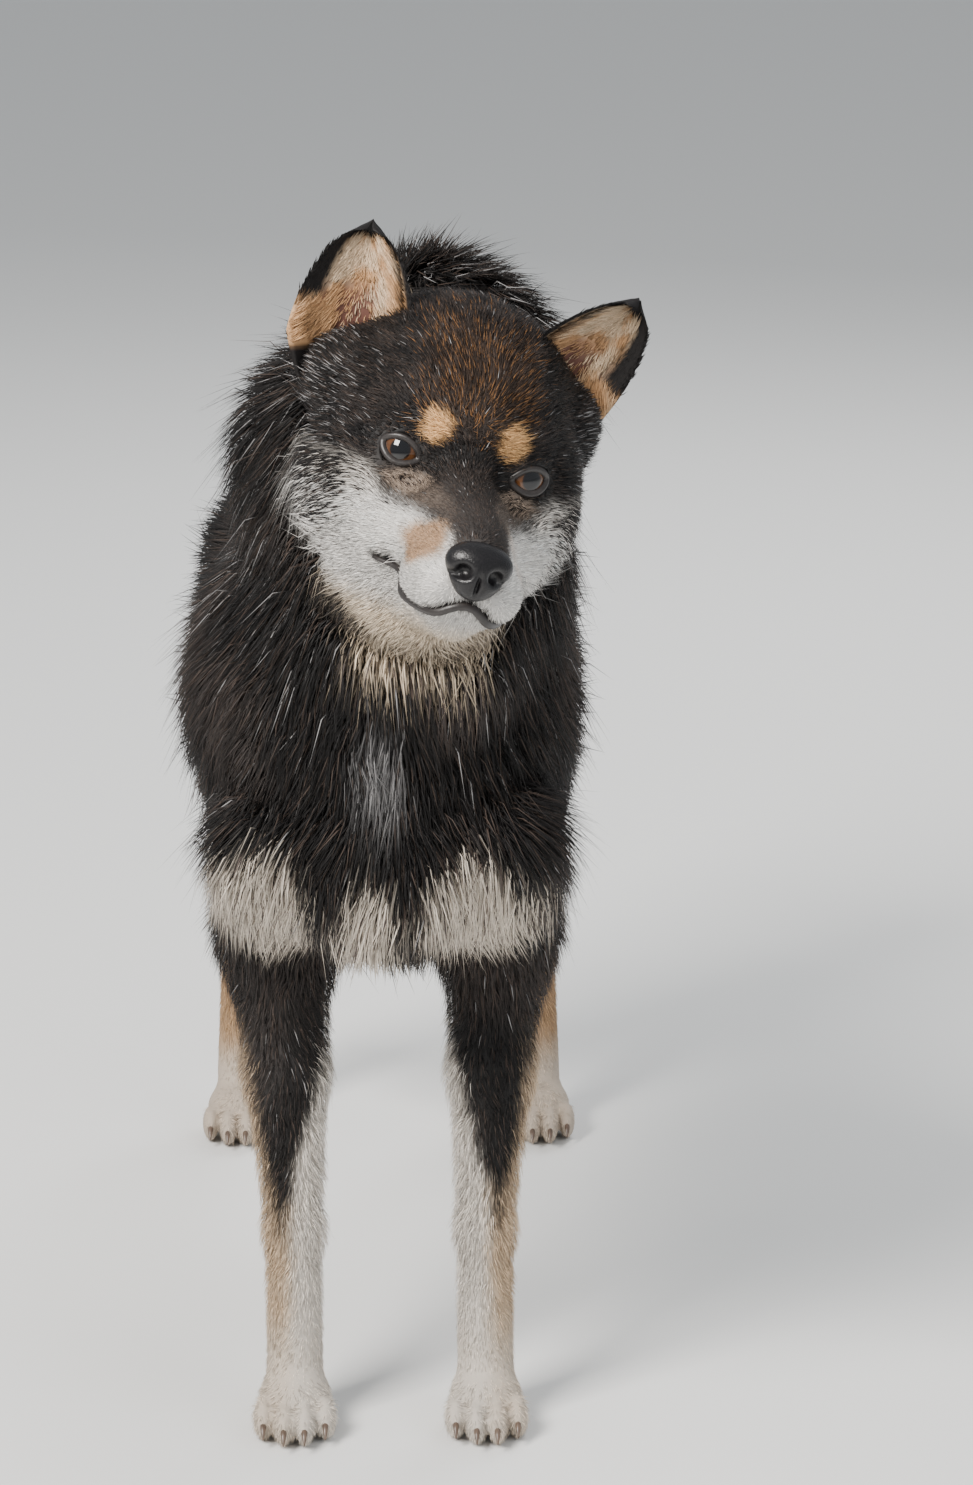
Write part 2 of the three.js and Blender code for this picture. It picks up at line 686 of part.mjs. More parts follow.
// Ears: thick cups of gristle and short fur, open to the front, each leaning its own way
const earPlaces = {
  right: { foot: [-50, 50, 37], tip: [-55, 40, 88], open: -14 },
  left: { foot: [40.5, 50, 38], tip: [67, 40, 85], open: 20 },
};

function earGeometry() {
  const rows = 10;
  const across = 8;
  const points = [];
  for (let i = 0; i <= rows; i++) {
    const t = i / rows;
    const root = Math.min(1, 0.72 + t);
    const wide = (EAR_WIDTH / 2) * root * Math.sqrt(1 - t ** 2.1) * (1 + 0.1 * Math.sin(Math.PI * t)) + 1.2;
    const cup = mix(17, 6, t);
    const thick = mix(8, 3.4, t);
    const z = mix(-22, EAR_LENGTH - 22, t);
    const line = (j, side) => {
      const v = -1 + (2 * j) / across;
      const edge = Math.sqrt(Math.max(0, 1 - v * v));
      return [v * wide, 5 - cup * (1 - v * v) + (side * thick * edge) / 2, z - 3 * (v * v) * t];
    };
    for (let j = 0; j <= across; j++) points.push(...line(j, -1));
    for (let j = across - 1; j > 0; j--) points.push(...line(j, 1));
  }
  return tubeBetween(points, rows, 2 * across);
}

function earFrame({ foot, tip, open }) {
  const up = new THREE.Vector3(...sub(tip, foot)).normalize();
  const facing = new THREE.Vector3(Math.sin(rad(open)), -Math.cos(rad(open)), 0);
  const across = facing.clone().cross(up).normalize();
  return new THREE.Matrix4().makeBasis(across, up.clone().cross(across), up).setPosition(...foot);
}

const aroundHead = headSkin(0.5).transform(headMatrix.elements);
for (const [side, lie] of Object.entries(earPlaces)) {
  const ear = solidOf(earGeometry(), headMatrix.clone().multiply(earFrame(lie)));
  place(`ear_${side}`, ear.subtract(aroundHead), furBlack);
}
place("head", headSolid, furBlack);
place("nose", noseSkin(0).transform(headMatrix.elements), leather);
for (const s of SIDES) {
  place(`eye_${SIDE_NAME[s]}`, solidOf(eyeball, headMatrix.clone().multiply(eyeFrame(s))), eyeBrown);
}

// Resting place of the origin: the middle of the footprint
const box = new THREE.Box3().setFromObject(group);
const middle = box.getCenter(new THREE.Vector3());
group.position.set(-middle.x, -middle.y, 0);

export default group;
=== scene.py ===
import math
import bpy
import numpy as np
from mathutils import Matrix, Vector


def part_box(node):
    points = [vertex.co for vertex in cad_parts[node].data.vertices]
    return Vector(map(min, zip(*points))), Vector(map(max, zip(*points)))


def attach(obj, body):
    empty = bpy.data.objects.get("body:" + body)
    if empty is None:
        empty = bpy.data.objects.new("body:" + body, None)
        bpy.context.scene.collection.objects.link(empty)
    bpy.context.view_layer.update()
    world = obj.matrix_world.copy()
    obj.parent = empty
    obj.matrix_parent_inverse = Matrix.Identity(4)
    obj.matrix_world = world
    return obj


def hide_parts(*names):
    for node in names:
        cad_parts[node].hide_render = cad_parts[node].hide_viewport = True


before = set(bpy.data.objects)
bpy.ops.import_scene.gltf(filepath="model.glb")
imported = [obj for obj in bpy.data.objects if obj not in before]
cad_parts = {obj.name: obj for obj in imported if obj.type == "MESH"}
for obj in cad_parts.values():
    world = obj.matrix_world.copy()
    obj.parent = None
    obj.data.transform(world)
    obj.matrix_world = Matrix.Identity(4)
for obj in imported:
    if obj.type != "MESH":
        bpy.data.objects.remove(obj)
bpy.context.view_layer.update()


# Studio: a plain pale floor under the dog, a broad soft key from the upper left, a fill and a back
# light. The camera looks down on the dog from the front, as a person standing before it would.
EYES_AT = np.array([32.0, -86.0, 456.0])
HEAD_YAW, HEAD_PITCH, HEAD_ROLL = 9.0, -3.0, 15.5
EYE_SPACING = 50.0
CAMERA_AT = [0.0, -2000.0, 850.0]
CAMERA_TILT, CAMERA_TURN = 75.0, -1.25
CAMERA_LENS = 114.67


def turn_about(axis, degrees):
    return np.array(Matrix.Rotation(math.radians(degrees), 3, axis))


head_turn = turn_about("Z", HEAD_YAW) @ turn_about("X", HEAD_PITCH) @ turn_about("Y", HEAD_ROLL)
left_eye_at = EYES_AT + head_turn @ np.array([EYE_SPACING / 2, 2.0, 0.0])
eye_low, eye_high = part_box("eye_left")
SHIFT = (np.array(eye_low) + np.array(eye_high)) * 500.0 - left_eye_at


def to_frame(points):
    """Millimetres from the floor between the forepaws, to metres in the shared frame."""
    return (np.asarray(points, dtype=float) + SHIFT) / 1000.0


camera_data = bpy.data.cameras.new("camera")
camera_data.lens = CAMERA_LENS
camera_data.sensor_width = 36.0
camera = bpy.data.objects.new("camera", camera_data)
camera.location = to_frame(CAMERA_AT)
camera.rotation_euler = (math.radians(CAMERA_TILT), 0.0, math.radians(CAMERA_TURN))
bpy.context.collection.objects.link(camera)
bpy.context.scene.camera = camera


def new_material(name, roughness):
    """A new material, its node tree and its shader."""
    material = bpy.data.materials.new(name)
    material.use_nodes = True
    shader = material.node_tree.nodes["Principled BSDF"]
    shader.inputs["Roughness"].default_value = roughness
    return material, material.node_tree, shader


floor_material, _, floor_shader = new_material("pale_floor", 0.85)
floor_shader.inputs["Base Color"].default_value = (0.74, 0.74, 0.73, 1)
floor_mesh = bpy.data.meshes.new("floor")
floor_mesh.from_pydata([(-40, -10, 0), (40, -10, 0), (40, 60, 0), (-40, 60, 0)], [], [(0, 1, 2, 3)])
floor_mesh.materials.append(floor_material)
floor = bpy.data.objects.new("floor", floor_mesh)
bpy.context.collection.objects.link(floor)


def soft_light(name, place, aim, size, power, tint):
    data = bpy.data.lights.new(name, "AREA")
    data.size = size
    data.energy = power
    data.color = tint
    lamp = bpy.data.objects.new(name, data)
    lamp.location = place
    lamp.rotation_euler = (Vector(aim) - Vector(place)).to_track_quat("-Z", "Y").to_euler()
    lamp.visible_glossy = name == "key_light"
    bpy.context.collection.objects.link(lamp)


soft_light("key_light", (-1.2, -1.4, 1.9), (0, 0, 0.3), 0.9, 120, (1.0, 0.96, 0.91))
soft_light("fill_light", (1.6, -1.3, 1.1), (0, 0, 0.3), 1.6, 20, (0.95, 0.98, 1.0))
soft_light("back_light", (0.6, 1.7, 1.7), (0, 0, 0.35), 1.2, 34, (1.0, 1.0, 1.0))
world = bpy.data.worlds.new("studio")
world.use_nodes = True
world.node_tree.nodes["Background"].inputs["Color"].default_value = (0.92, 0.96, 1.0, 1)
world.node_tree.nodes["Background"].inputs["Strength"].default_value = 0.55
bpy.context.scene.world = world


# Skin: flesh over the whole skeleton, in one closed hide from the muzzle to the tip of the tail.
# It lies below the coat by the coat's depth, and is made of the same rounded masses as the solids.
WITHERS_HEIGHT = 402.0
CHEST_WIDTH = 174.0
CHEST_DEPTH = 196.0
BODY_LENGTH = 440.0
FRONT_STANCE = 86.0
HIND_STANCE = 160.0
WHEELBASE = 388.0
PAW_WIDTH = 38.0
NOSE_TIP = -89.0
TAIL_SKIN_RADIUS = 15
TAIL_TAPER = 0.2
SKIN_CELL = 3.2
MELT_REACH = 45
SIDES = (-1, 1)


def egg(at, radii):
    """An egg-shaped mass: the height above its surface, and the corners of its box."""
    at, radii = np.array(at, dtype=float), np.array(radii, dtype=float)

    def value(points):
        q = points - at
        near = np.linalg.norm(q / radii, axis=1)
        steep = np.linalg.norm(q / radii ** 2, axis=1)
        return np.where(steep > 1e-9, near * (near - 1) / np.maximum(steep, 1e-9), -radii.min())

    return value, at - radii, at + radii


def limb(a, b, ra, rb):
    """A mass round a straight bone, with a radius at each end."""
    a, b = np.array(a, dtype=float), np.array(b, dtype=float)
    axis = b - a
    l2 = axis @ axis
    rr = ra - rb
    a2 = l2 - rr * rr

    def value(points):
        pa = points - a
        y = pa @ axis
        z = y - l2
        away = pa * l2 - y[:, None] * axis
        x2 = (away * away).sum(axis=1)
        y2 = y * y * l2
        z2 = z * z * l2
        k = np.sign(rr) * rr * rr * x2
        at_side = (np.sqrt(x2 * a2 / l2) + y * rr) / l2 - ra
        at_a = np.sqrt(x2 + y2) / l2 - ra
        at_b = np.sqrt(x2 + z2) / l2 - rb
        return np.where(np.sign(z) * a2 * z2 > k, at_b, np.where(np.sign(y) * a2 * y2 < k, at_a, at_side))

    r = max(ra, rb)
    return value, np.minimum(a, b) - r, np.maximum(a, b) + r


def melt(a, b, soft):
    """Two heights as one, with a soft hollow where the two masses meet."""
    h = np.maximum(soft - np.abs(a - b), 0) / soft
    return np.minimum(a, b) - h * h * soft * 0.25


def melt_all(masses, points):
    """Masses melted together in turn. One with a softness below zero is a hollow cut out of the rest."""
    depth = np.full(len(points), 1e3)
    for soft, (mass, low, high) in masses:
        near = np.all((points > low - MELT_REACH) & (points < high + MELT_REACH), axis=1)
        if near.any():
            here, value = depth[near], mass(points[near])
            depth[near] = melt(here, value, soft) if soft > 0 else -melt(-here, value, -soft)
    return depth


back_height = WITHERS_HEIGHT - 14
chest_middle = back_height - CHEST_DEPTH / 2 + 6
rump_end = BODY_LENGTH - 48
body_masses = [
    (30, egg([0, 98, chest_middle], [CHEST_WIDTH / 2 - 1, 148, CHEST_DEPTH / 2 - 4])),
    (30, egg([0, 238, back_height - 72], [68, 118, 66])),
    (30, egg([0, rump_end - 72, back_height - 62], [74, 72, 64])),
    (26, egg([0, 42, WITHERS_HEIGHT - 36], [44, 72, 36])),
    (26, egg([0, -38, 271], [50, 40, 46])),
    (34, limb([-5, 8, 338], [15, -20, 424], 85, 62)),
    (24, egg([12, -52, 372], [50, 34, 46])),
    (22, egg([-2, 6, 438], [70, 58, 68])),
    (22, egg([22, -10, 396], [62, 54, 52])),
]
for s in SIDES:
    x = s * FRONT_STANCE / 2
    elbow, mid_arm, wrist = [s * 49, 26, 222], [x + s * 3, 14, 158], [x, 0, 88]
    body_masses += [
        (26, egg([s * 42, 26, 336], [42, 56, 66])),
        (22, limb([s * 50, -32, 280], elbow, 34, 27)),
        (20, limb(elbow, mid_arm, 26, 20.5)),
        (10, limb(mid_arm, wrist, 20.5, 14.5)),
        (8, limb(wrist, [x, -7, 30], 14.5, 14)),
    ]
    x = s * HIND_STANCE / 2
    knee, hock = np.array([s * 62, 292, 226]), np.array([x - s * 3, WHEELBASE + 22, 118])
    body_masses += [
        (26, limb([s * 44, rump_end - 62, 318], knee, 52, 33)),
        (24, egg([s * 56, rump_end - 72, 280], [33, 56, 62])),
        (20, egg([s * 65, 330, 196], [23, 40, 44])),
        (18, limb(knee, hock, 28, 14)),
        (8, limb(hock + [0, 4, 2], [x, WHEELBASE + 3, 30], 13.5, 12.5)),
        (8, egg(hock + [0, 10, 4], [9, 10, 12])),
    ]


def toes_of(x, y):
    """The middles of a paw's four toes, of which the inner two are ahead of the others."""
    return [[x + i * PAW_WIDTH / 4.1, y - (24 if abs(i) < 1 else 17), 9] for i in (-1.5, -0.5, 0.5, 1.5)]


paws_at = [(s * FRONT_STANCE / 2, -12.0) for s in SIDES]
paws_at += [(s * HIND_STANCE / 2, WHEELBASE - 6) for s in SIDES]
for x, y in paws_at:
    body_masses.append((9, egg([x, y - 2, 13], [PAW_WIDTH / 2 - 1.5, 22, 14.5])))
    body_masses += [(2.4, egg(toe, [6, 13, 10.5])) for toe in toes_of(x, y)]

head_masses = [
    (12, egg([0, 52, 15], [55, 58, 53])),
    (14, egg([0, 14, 16], [36, 30, 32])),
    *[(16, egg([s * 35, 40, -17], [29, 42, 40])) for s in SIDES],
    *[(12, egg([s * 49, 52, 19], [19, 20, 21])) for s in SIDES],
    *[(18, egg([s * 22, 4, -30], [24, 34, 24])) for s in SIDES],
    (16, egg([0, 34, -58], [44, 46, 34])),
    (16, limb([0, -2, -26], [0, -63, -35], 28, 19.5)),
    (10, limb([0, 0, -12], [0, -74, -25], 15, 10)),
    (10, limb([0, 10, -50], [0, -58, -54], 24, 12)),
    *[(8, egg([s * 12, -57, -42], [14, 25, 14])) for s in SIDES],
    *[(9, egg([s * 21, 4, 16], [14, 12, 8])) for s in SIDES],
    *[(-9, egg([s * 27, -17, -4], [11, 10, 9])) for s in SIDES],
]

TAIL_POINTS = [
    [0, 356, 350], [0, 396, 386], [5, 402, 420], [20, 374, 448],
    [46, 328, 450], [72, 292, 428], [88, 294, 398],
]


def smooth_curve(points, count):
    """A smooth curve through points, as evenly spaced points on it."""
    points = np.array(points, dtype=float)
    padded = np.vstack([2 * points[0] - points[1], points, 2 * points[-1] - points[-2]])
    fine = []
    for i in range(len(points) - 1):
        p0, p1, p2, p3 = padded[i : i + 4]
        for t in np.linspace(0, 1, 24, endpoint=False):
            fine.append(0.5 * (2 * p1 + (p2 - p0) * t + (2 * p0 - 5 * p1 + 4 * p2 - p3) * t ** 2
                               + (3 * p1 - p0 - 3 * p2 + p3) * t ** 3))
    fine = np.array(fine + [points[-1]])
    along = np.concatenate([[0], np.cumsum(np.linalg.norm(np.diff(fine, axis=0), axis=1))])
    even = np.linspace(0, along[-1], count)
    return np.stack([np.interp(even, along, fine[:, i]) for i in range(3)], axis=1)


tail_line = smooth_curve(TAIL_POINTS, 40)
tail_along = np.gradient(tail_line, axis=0)
tail_along /= np.linalg.norm(tail_along, axis=1)[:, None]
tail_thick = TAIL_SKIN_RADIUS - TAIL_TAPER * np.arange(len(tail_line))
tail_masses = [
    (10, limb(tail_line[i], tail_line[i + 3], tail_thick[i], tail_thick[i + 3])) for i in range(0, 36, 3)
]


def ramp(value, start, end):
    """0 up to the start, 1 from the end on, and a smooth rise between."""
    t = np.clip((value - start) / (end - start), 0, 1)
    return t * t * (3 - 2 * t)


def in_head(points):
    return (points - EYES_AT) @ head_turn


def outer_form(points):
    """Height above the tips of the coat, apart from the tail, and how much of a place is head."""
    body = melt_all(body_masses, points)
    head = melt_all(head_masses, in_head(points))
    return melt(body, head, 20), ramp(body - head, -6, 14)


def coat_depth(points, headness):
    """How far the skin lies below the tips of the coat."""
    q = in_head(points)
    z = points[:, 2]
    body = 1.6 + 2.6 * ramp(z, 30, 110) + 8.0 * ramp(z, 170, 290)
    body += 4.0 * ramp(-points[:, 1], -60, 30) * ramp(z, 200, 300)
    head = 1.6 + 1.8 * ramp(q[:, 1], -40, 10) + 7.0 * ramp(q[:, 1], 5, 60) * ramp(-q[:, 2], -30, 20)
    return body * (1 - headness) + head * headness


EYEBALL_RADIUS = 10.5
EYE_OPENING = (15.6, 9.6)
MOUTH_SIDE = [[4, -84, -53], [12, -73, -53.5], [21, -52, -51.5], [28, -34, -48.5], [32, -22, -44.5]]
MOUTH_MIDDLE = [0, -87, -53]
MOUTH_DEPTH = 1.2
MOUTH_POINTS = 41


def height_of_head(points):
    return melt_all(head_masses, points)


def slope_of(height, points, step=0.6):
    """The way a height rises fastest at each place, which is outwards at a surface."""
    out = np.empty_like(points)
    for axis in range(3):
        nudge = np.zeros(3)
        nudge[axis] = step
        out[:, axis] = height(points + nudge) - height(points - nudge)
    return out / np.maximum(np.linalg.norm(out, axis=1), 1e-9)[:, None]


def drawn_onto(height, points, level=0.0):
    """Points moved straight in or out until a height has that level there."""
    points = np.array(points, dtype=float)
    for _ in range(10):
        points = points + slope_of(height, points) * (level - height(points))[:, None]
    return points


mouth_half = drawn_onto(height_of_head, MOUTH_SIDE, -MOUTH_DEPTH)
mouth_middle = drawn_onto(height_of_head, [MOUTH_MIDDLE], -MOUTH_DEPTH)
mouth_corners = np.vstack([(mouth_half * [-1, 1, 1])[::-1], mouth_middle, mouth_half])
mouth_line = smooth_curve(mouth_corners, MOUTH_POINTS)
mouth_masses = [
    (1.5, limb(mouth_line[i], mouth_line[i + 2], 1.3, 1.3)) for i in range(0, MOUTH_POINTS - 1, 2)
]


def eye_turn(s):
    """An eye's turn in the head, out and down, with its opening slanted."""
    return turn_about("Z", s * 20) @ turn_about("X", -4) @ turn_about("Y", -s * 12)


def round_eye(q, s):
    """Head places in one eye's own frame, looking along -Y."""
    return (q - [s * EYE_SPACING / 2, 2.0, 0.0]) @ eye_turn(s)


def eye_ring(q):
    """0 at the middle of the nearer eye's opening, 1 along its edge, and large behind the eyes."""
    ring = np.full(len(q), 9.0)
    for s in SIDES:
        e = round_eye(q, s)
        here = np.hypot(e[:, 0] / (EYE_OPENING[0] / 2), e[:, 2] / (EYE_OPENING[1] / 2))
        ring = np.where(e[:, 1] < 0, np.minimum(ring, here), ring)
    return ring


def skin_height(points):
    """Height above the hide, with the sockets, the eyelids' flesh and the mouth's groove in it."""
    outer, headness = outer_form(points)
    hide = melt(outer + coat_depth(points, headness), melt_all(tail_masses, points), 16)
    q = in_head(points)
    near = (np.abs(q) < 100).all(axis=1)
    q = q[near]
    face = hide[near]
    for s in SIDES:
        e = round_eye(q, s)
        ball = np.linalg.norm(e, axis=1)
        face = melt(face, ball - EYEBALL_RADIUS - 1.3, 7)
        slot = (np.hypot(e[:, 0] / EYE_OPENING[0], e[:, 2] / EYE_OPENING[1]) * 2 - 1) * EYE_OPENING[1] / 2
        face = -melt(-face, np.maximum(slot, e[:, 1]), 0.8)
        face = -melt(-face, ball - EYEBALL_RADIUS + 0.3, 0.8)
    hide[near] = -melt(-face, melt_all(mouth_masses, q), 1.6)
    return hide


def net_over(height, low, high, cell, rounds=3):
    """A closed net of four-sided faces where a height is zero: points and faces."""
    low = np.array(low, dtype=float)
    size = np.ceil((np.array(high) - low) / cell).astype(int) + 1
    lines = [low[i] + cell * np.arange(size[i]) for i in range(3)]
    grid = np.stack(np.meshgrid(*lines, indexing="ij"), axis=-1).reshape(-1, 3)
    values = np.concatenate([height(part) for part in np.array_split(grid, 12)]).reshape(size)
    for axis in range(3):
        rim = [slice(None)] * 3
        for end in (0, -1):
            rim[axis] = end
            values[tuple(rim)] = np.maximum(values[tuple(rim)], cell / 2)
    inside = values < 0
    total = np.zeros(tuple(size - 1), dtype=int)
    corner_slices = {}
    for c in range(8):
        offset = (c & 1, (c >> 1) & 1, (c >> 2) & 1)
        corner_slices[offset] = tuple(slice(o, size[i] - 1 + o) for i, o in enumerate(offset))
        total += inside[corner_slices[offset]]
    cells = np.argwhere((total > 0) & (total < 8))
    number = np.full(tuple(size - 1), -1)
    number[tuple(cells.T)] = np.arange(len(cells))
    spot = np.zeros((len(cells), 3))
    count = np.zeros(len(cells))
    for a in corner_slices:
        for axis in range(3):
            if a[axis]:
                continue
            b = tuple(o + (i == axis) for i, o in enumerate(a))
            va = values[tuple((cells + a).T)]
            vb = values[tuple((cells + b).T)]
            crossed = (va < 0) != (vb < 0)
            t = np.where(crossed, va / np.where(crossed, va - vb, 1), 0)
            place = np.array(a) + t[:, None] * (np.array(b) - np.array(a))
            spot[crossed] += place[crossed]
            count[crossed] += 1
    points = low + cell * (cells + spot / count[:, None])
    start = points.copy()
    for _ in range(rounds):
        points = points - slope_of(height, points) * height(points)[:, None]
    lost = np.linalg.norm(points - start, axis=1) > cell
    points[lost] = start[lost]
    faces = []
    for axis in range(3):
        u, v = (axis + 1) % 3, (axis + 2) % 3
        a = [slice(None)] * 3
        a[axis] = slice(0, size[axis] - 1)
        b = [slice(None)] * 3
        b[axis] = slice(1, size[axis])
        first, second = inside[tuple(a)], inside[tuple(b)]
        for turned in (True, False):
            edges = np.argwhere(first & ~second if turned else second & ~first)
            edges = edges[(edges[:, u] > 0) & (edges[:, v] > 0)]
            ring = []
            for m, n in ((0, 0), (1, 0), (1, 1), (0, 1)):
                at = edges.copy()
                at[:, u] -= m
                at[:, v] -= n
                ring.append(number[tuple(at.T)])
            if not turned:
                ring.reverse()
            faces.append(np.stack(ring, axis=1))
    return points, np.vstack(faces)


def piece_from(name, points, faces, material):
    """A finished piece from millimetre points and faces that all have the same number of corners."""
    mesh = bpy.data.meshes.new(name)
    corners = faces.shape[1]
    mesh.vertices.add(len(points))
    mesh.vertices.foreach_set("co", to_frame(points).astype(np.float32).ravel())
    mesh.loops.add(faces.size)
    mesh.loops.foreach_set("vertex_index", faces.astype(np.int32).ravel())
    mesh.polygons.add(len(faces))
    mesh.polygons.foreach_set("loop_start", np.arange(0, faces.size, corners, dtype=np.int32))
    mesh.update(calc_edges=True)
    mesh.polygons.foreach_set("use_smooth", np.ones(len(faces), dtype=bool))
    mesh.materials.append(material)
    piece = bpy.data.objects.new(name, mesh)
    bpy.context.collection.objects.link(piece)
    return piece


def colours_on(piece, colours):
    """Colours painted on a piece's points, which its material reads."""
    layer = piece.data.color_attributes.new("marking", "FLOAT_COLOR", "POINT")
    rgba = np.ones((len(colours), 4), dtype=np.float32)
    rgba[:, :3] = colours
    layer.data.foreach_set("color", rgba.ravel())


def speckle(points, size, seed):
    """Smooth random values from 0 to 1 in space, at a grain of that size."""
    p = points / size
    base = np.floor(p).astype(np.int64)
    f = p - base
    f = f * f * (3 - 2 * f)
    out = np.zeros(len(points))
    for c in range(8):
        o = np.array([c & 1, (c >> 1) & 1, (c >> 2) & 1])
        k = base + o
        h = (k[:, 0] * 73856093) ^ (k[:, 1] * 19349663) ^ (k[:, 2] * 83492791) ^ (seed * 2654435761)
        h = (h ^ (h >> 13)) * 1274126177 & 0x7FFFFFFF
        w = np.prod(np.where(o, f, 1 - f), axis=1)
        out += w * ((h >> 7) % 4096) / 4095.0
    return out


BLACK = np.array([0.009, 0.0078, 0.0078])
SMOKE = np.array([0.05, 0.04, 0.036])
RUST = np.array([0.36, 0.175, 0.07])
TAN = np.array([0.52, 0.33, 0.18])
CREAM = np.array([0.74, 0.6, 0.44])
WHITE = np.array([0.84, 0.81, 0.77])
GREY = np.array([0.33, 0.32, 0.32])
BROW_TAN = np.array([0.8, 0.47, 0.21])
CHEST_LOBES = ((-51, 251, 23, 28), (-8, 251, 10.5, 18), (37, 250, 25, 25))
# the middle of the painted highlight on the left shoulder, as (y, z): light catching the black coat, painted
# grey
SHOULDER_HIGHLIGHT = (40, 318)
TAN_PATCH = (-52, -28)
BROW_SPOT = (16.3, 14)
CURL_MIDDLE = np.array([30, 350, 405])


def blend(under, over, amount):
    return under * (1 - amount[:, None]) + over * amount[:, None]


def trunk_markings(points, wobble):
    """Black, with a pale belly, three pale lobes and a grey streak on the chest, and a painted grey highlight
    on the left shoulder.
    """
    x, y, z = points.T
    colour = np.tile(BLACK, (len(points), 1))
    colour = blend(colour, SMOKE, 0.7 * ramp(speckle(points, 34, 8), 0.45, 0.85))
    belly = ramp(260 + wobble * 0.6 - z, 0, 26) * ramp(y, 60, 120) * (np.abs(x) < 62)
    colour = blend(colour, CREAM, belly)
    for lobe_x, lobe_z, wide, tall in CHEST_LOBES:
        inside = (1 - np.hypot((x - lobe_x) / wide, (z - lobe_z) / tall)) * wide
        lobe = 0.95 * ramp(inside + wobble * 0.4, -2, 5) * ramp(-y, -30, 0)
        colour = blend(colour, CREAM * 0.55 + WHITE * 0.4, lobe)
    streak = 0.7 * ramp(10 - np.abs(x + 3) + wobble * 0.6, -2, 11) * ramp(z, 276, 292)
    colour = blend(colour, GREY, streak * ramp(-z, -352, -326) * ramp(-y, 30, 50))
    # painted highlight: a grey spot on the left shoulder only, standing for light catching the black coat
    # there
    from_highlight = np.hypot(y - SHOULDER_HIGHLIGHT[0], z - SHOULDER_HIGHLIGHT[1])
    return blend(colour, GREY, 0.6 * ramp(14 - from_highlight + wobble * 0.5, -6, 8) * ramp(x, 60, 72))


def leg_markings(points, colour, wobble):
    """Forelegs dark down the front, to a point above the wrist. Hind legs tan from the hock down."""
    x, y, z = points.T
    fore = ramp(-y, -120, -90)
    outward = np.abs(x) - FRONT_STANCE / 2
    taper = ramp(-z, -185, -88)
    inner_side = ramp(wobble * 0.2 - 16 + 20 * taper - outward, -3, 3)
    outer_side = ramp(outward + wobble * 0.2 - 21 + 14 * taper, -3, 3) * ramp(-z, -190, -150)
    leg_white = np.tile(WHITE * 0.65 + CREAM * 0.32, (len(points), 1))
    leg_tint = blend(leg_white, CREAM * 0.5 + TAN * 0.5, ramp(outward + wobble * 0.25, -3, 6))
    pale = inner_side * ramp(-z + wobble * 0.4, -200, -176)
    pale = np.maximum(pale, ramp(-z + wobble * 0.4, -96, -84))
    pale = np.maximum(pale, outer_side)
    pale = np.maximum(pale, ramp(y + wobble * 0.3, 16, 28) * ramp(-z, -190, -160))
    colour = blend(colour, leg_tint, fore * pale)
    hind = 1 - fore
    inside = ramp(62 - np.abs(x) + wobble * 0.4, -8, 8) * ramp(-z, -290, -250)
    colour = blend(colour, CREAM, hind * inside)
    colour = blend(colour, TAN, hind * ramp(-z + wobble * 0.6, -176, -142))
    breeches = hind * ramp(y + wobble * 0.5, 368, 384) * ramp(z, 200, 230) * ramp(-z, -350, -330)
    colour = blend(colour, CREAM, breeches)
    return blend(colour, CREAM * 0.5 + WHITE * 0.5, 0.7 * ramp(-z + wobble * 0.4, -58, -30))


def from_lips(q):
    """How far places in the head are from the line of the closed mouth."""
    return np.min(np.linalg.norm(q[:, None, :] - mouth_line[None, ::2], axis=2), axis=1)


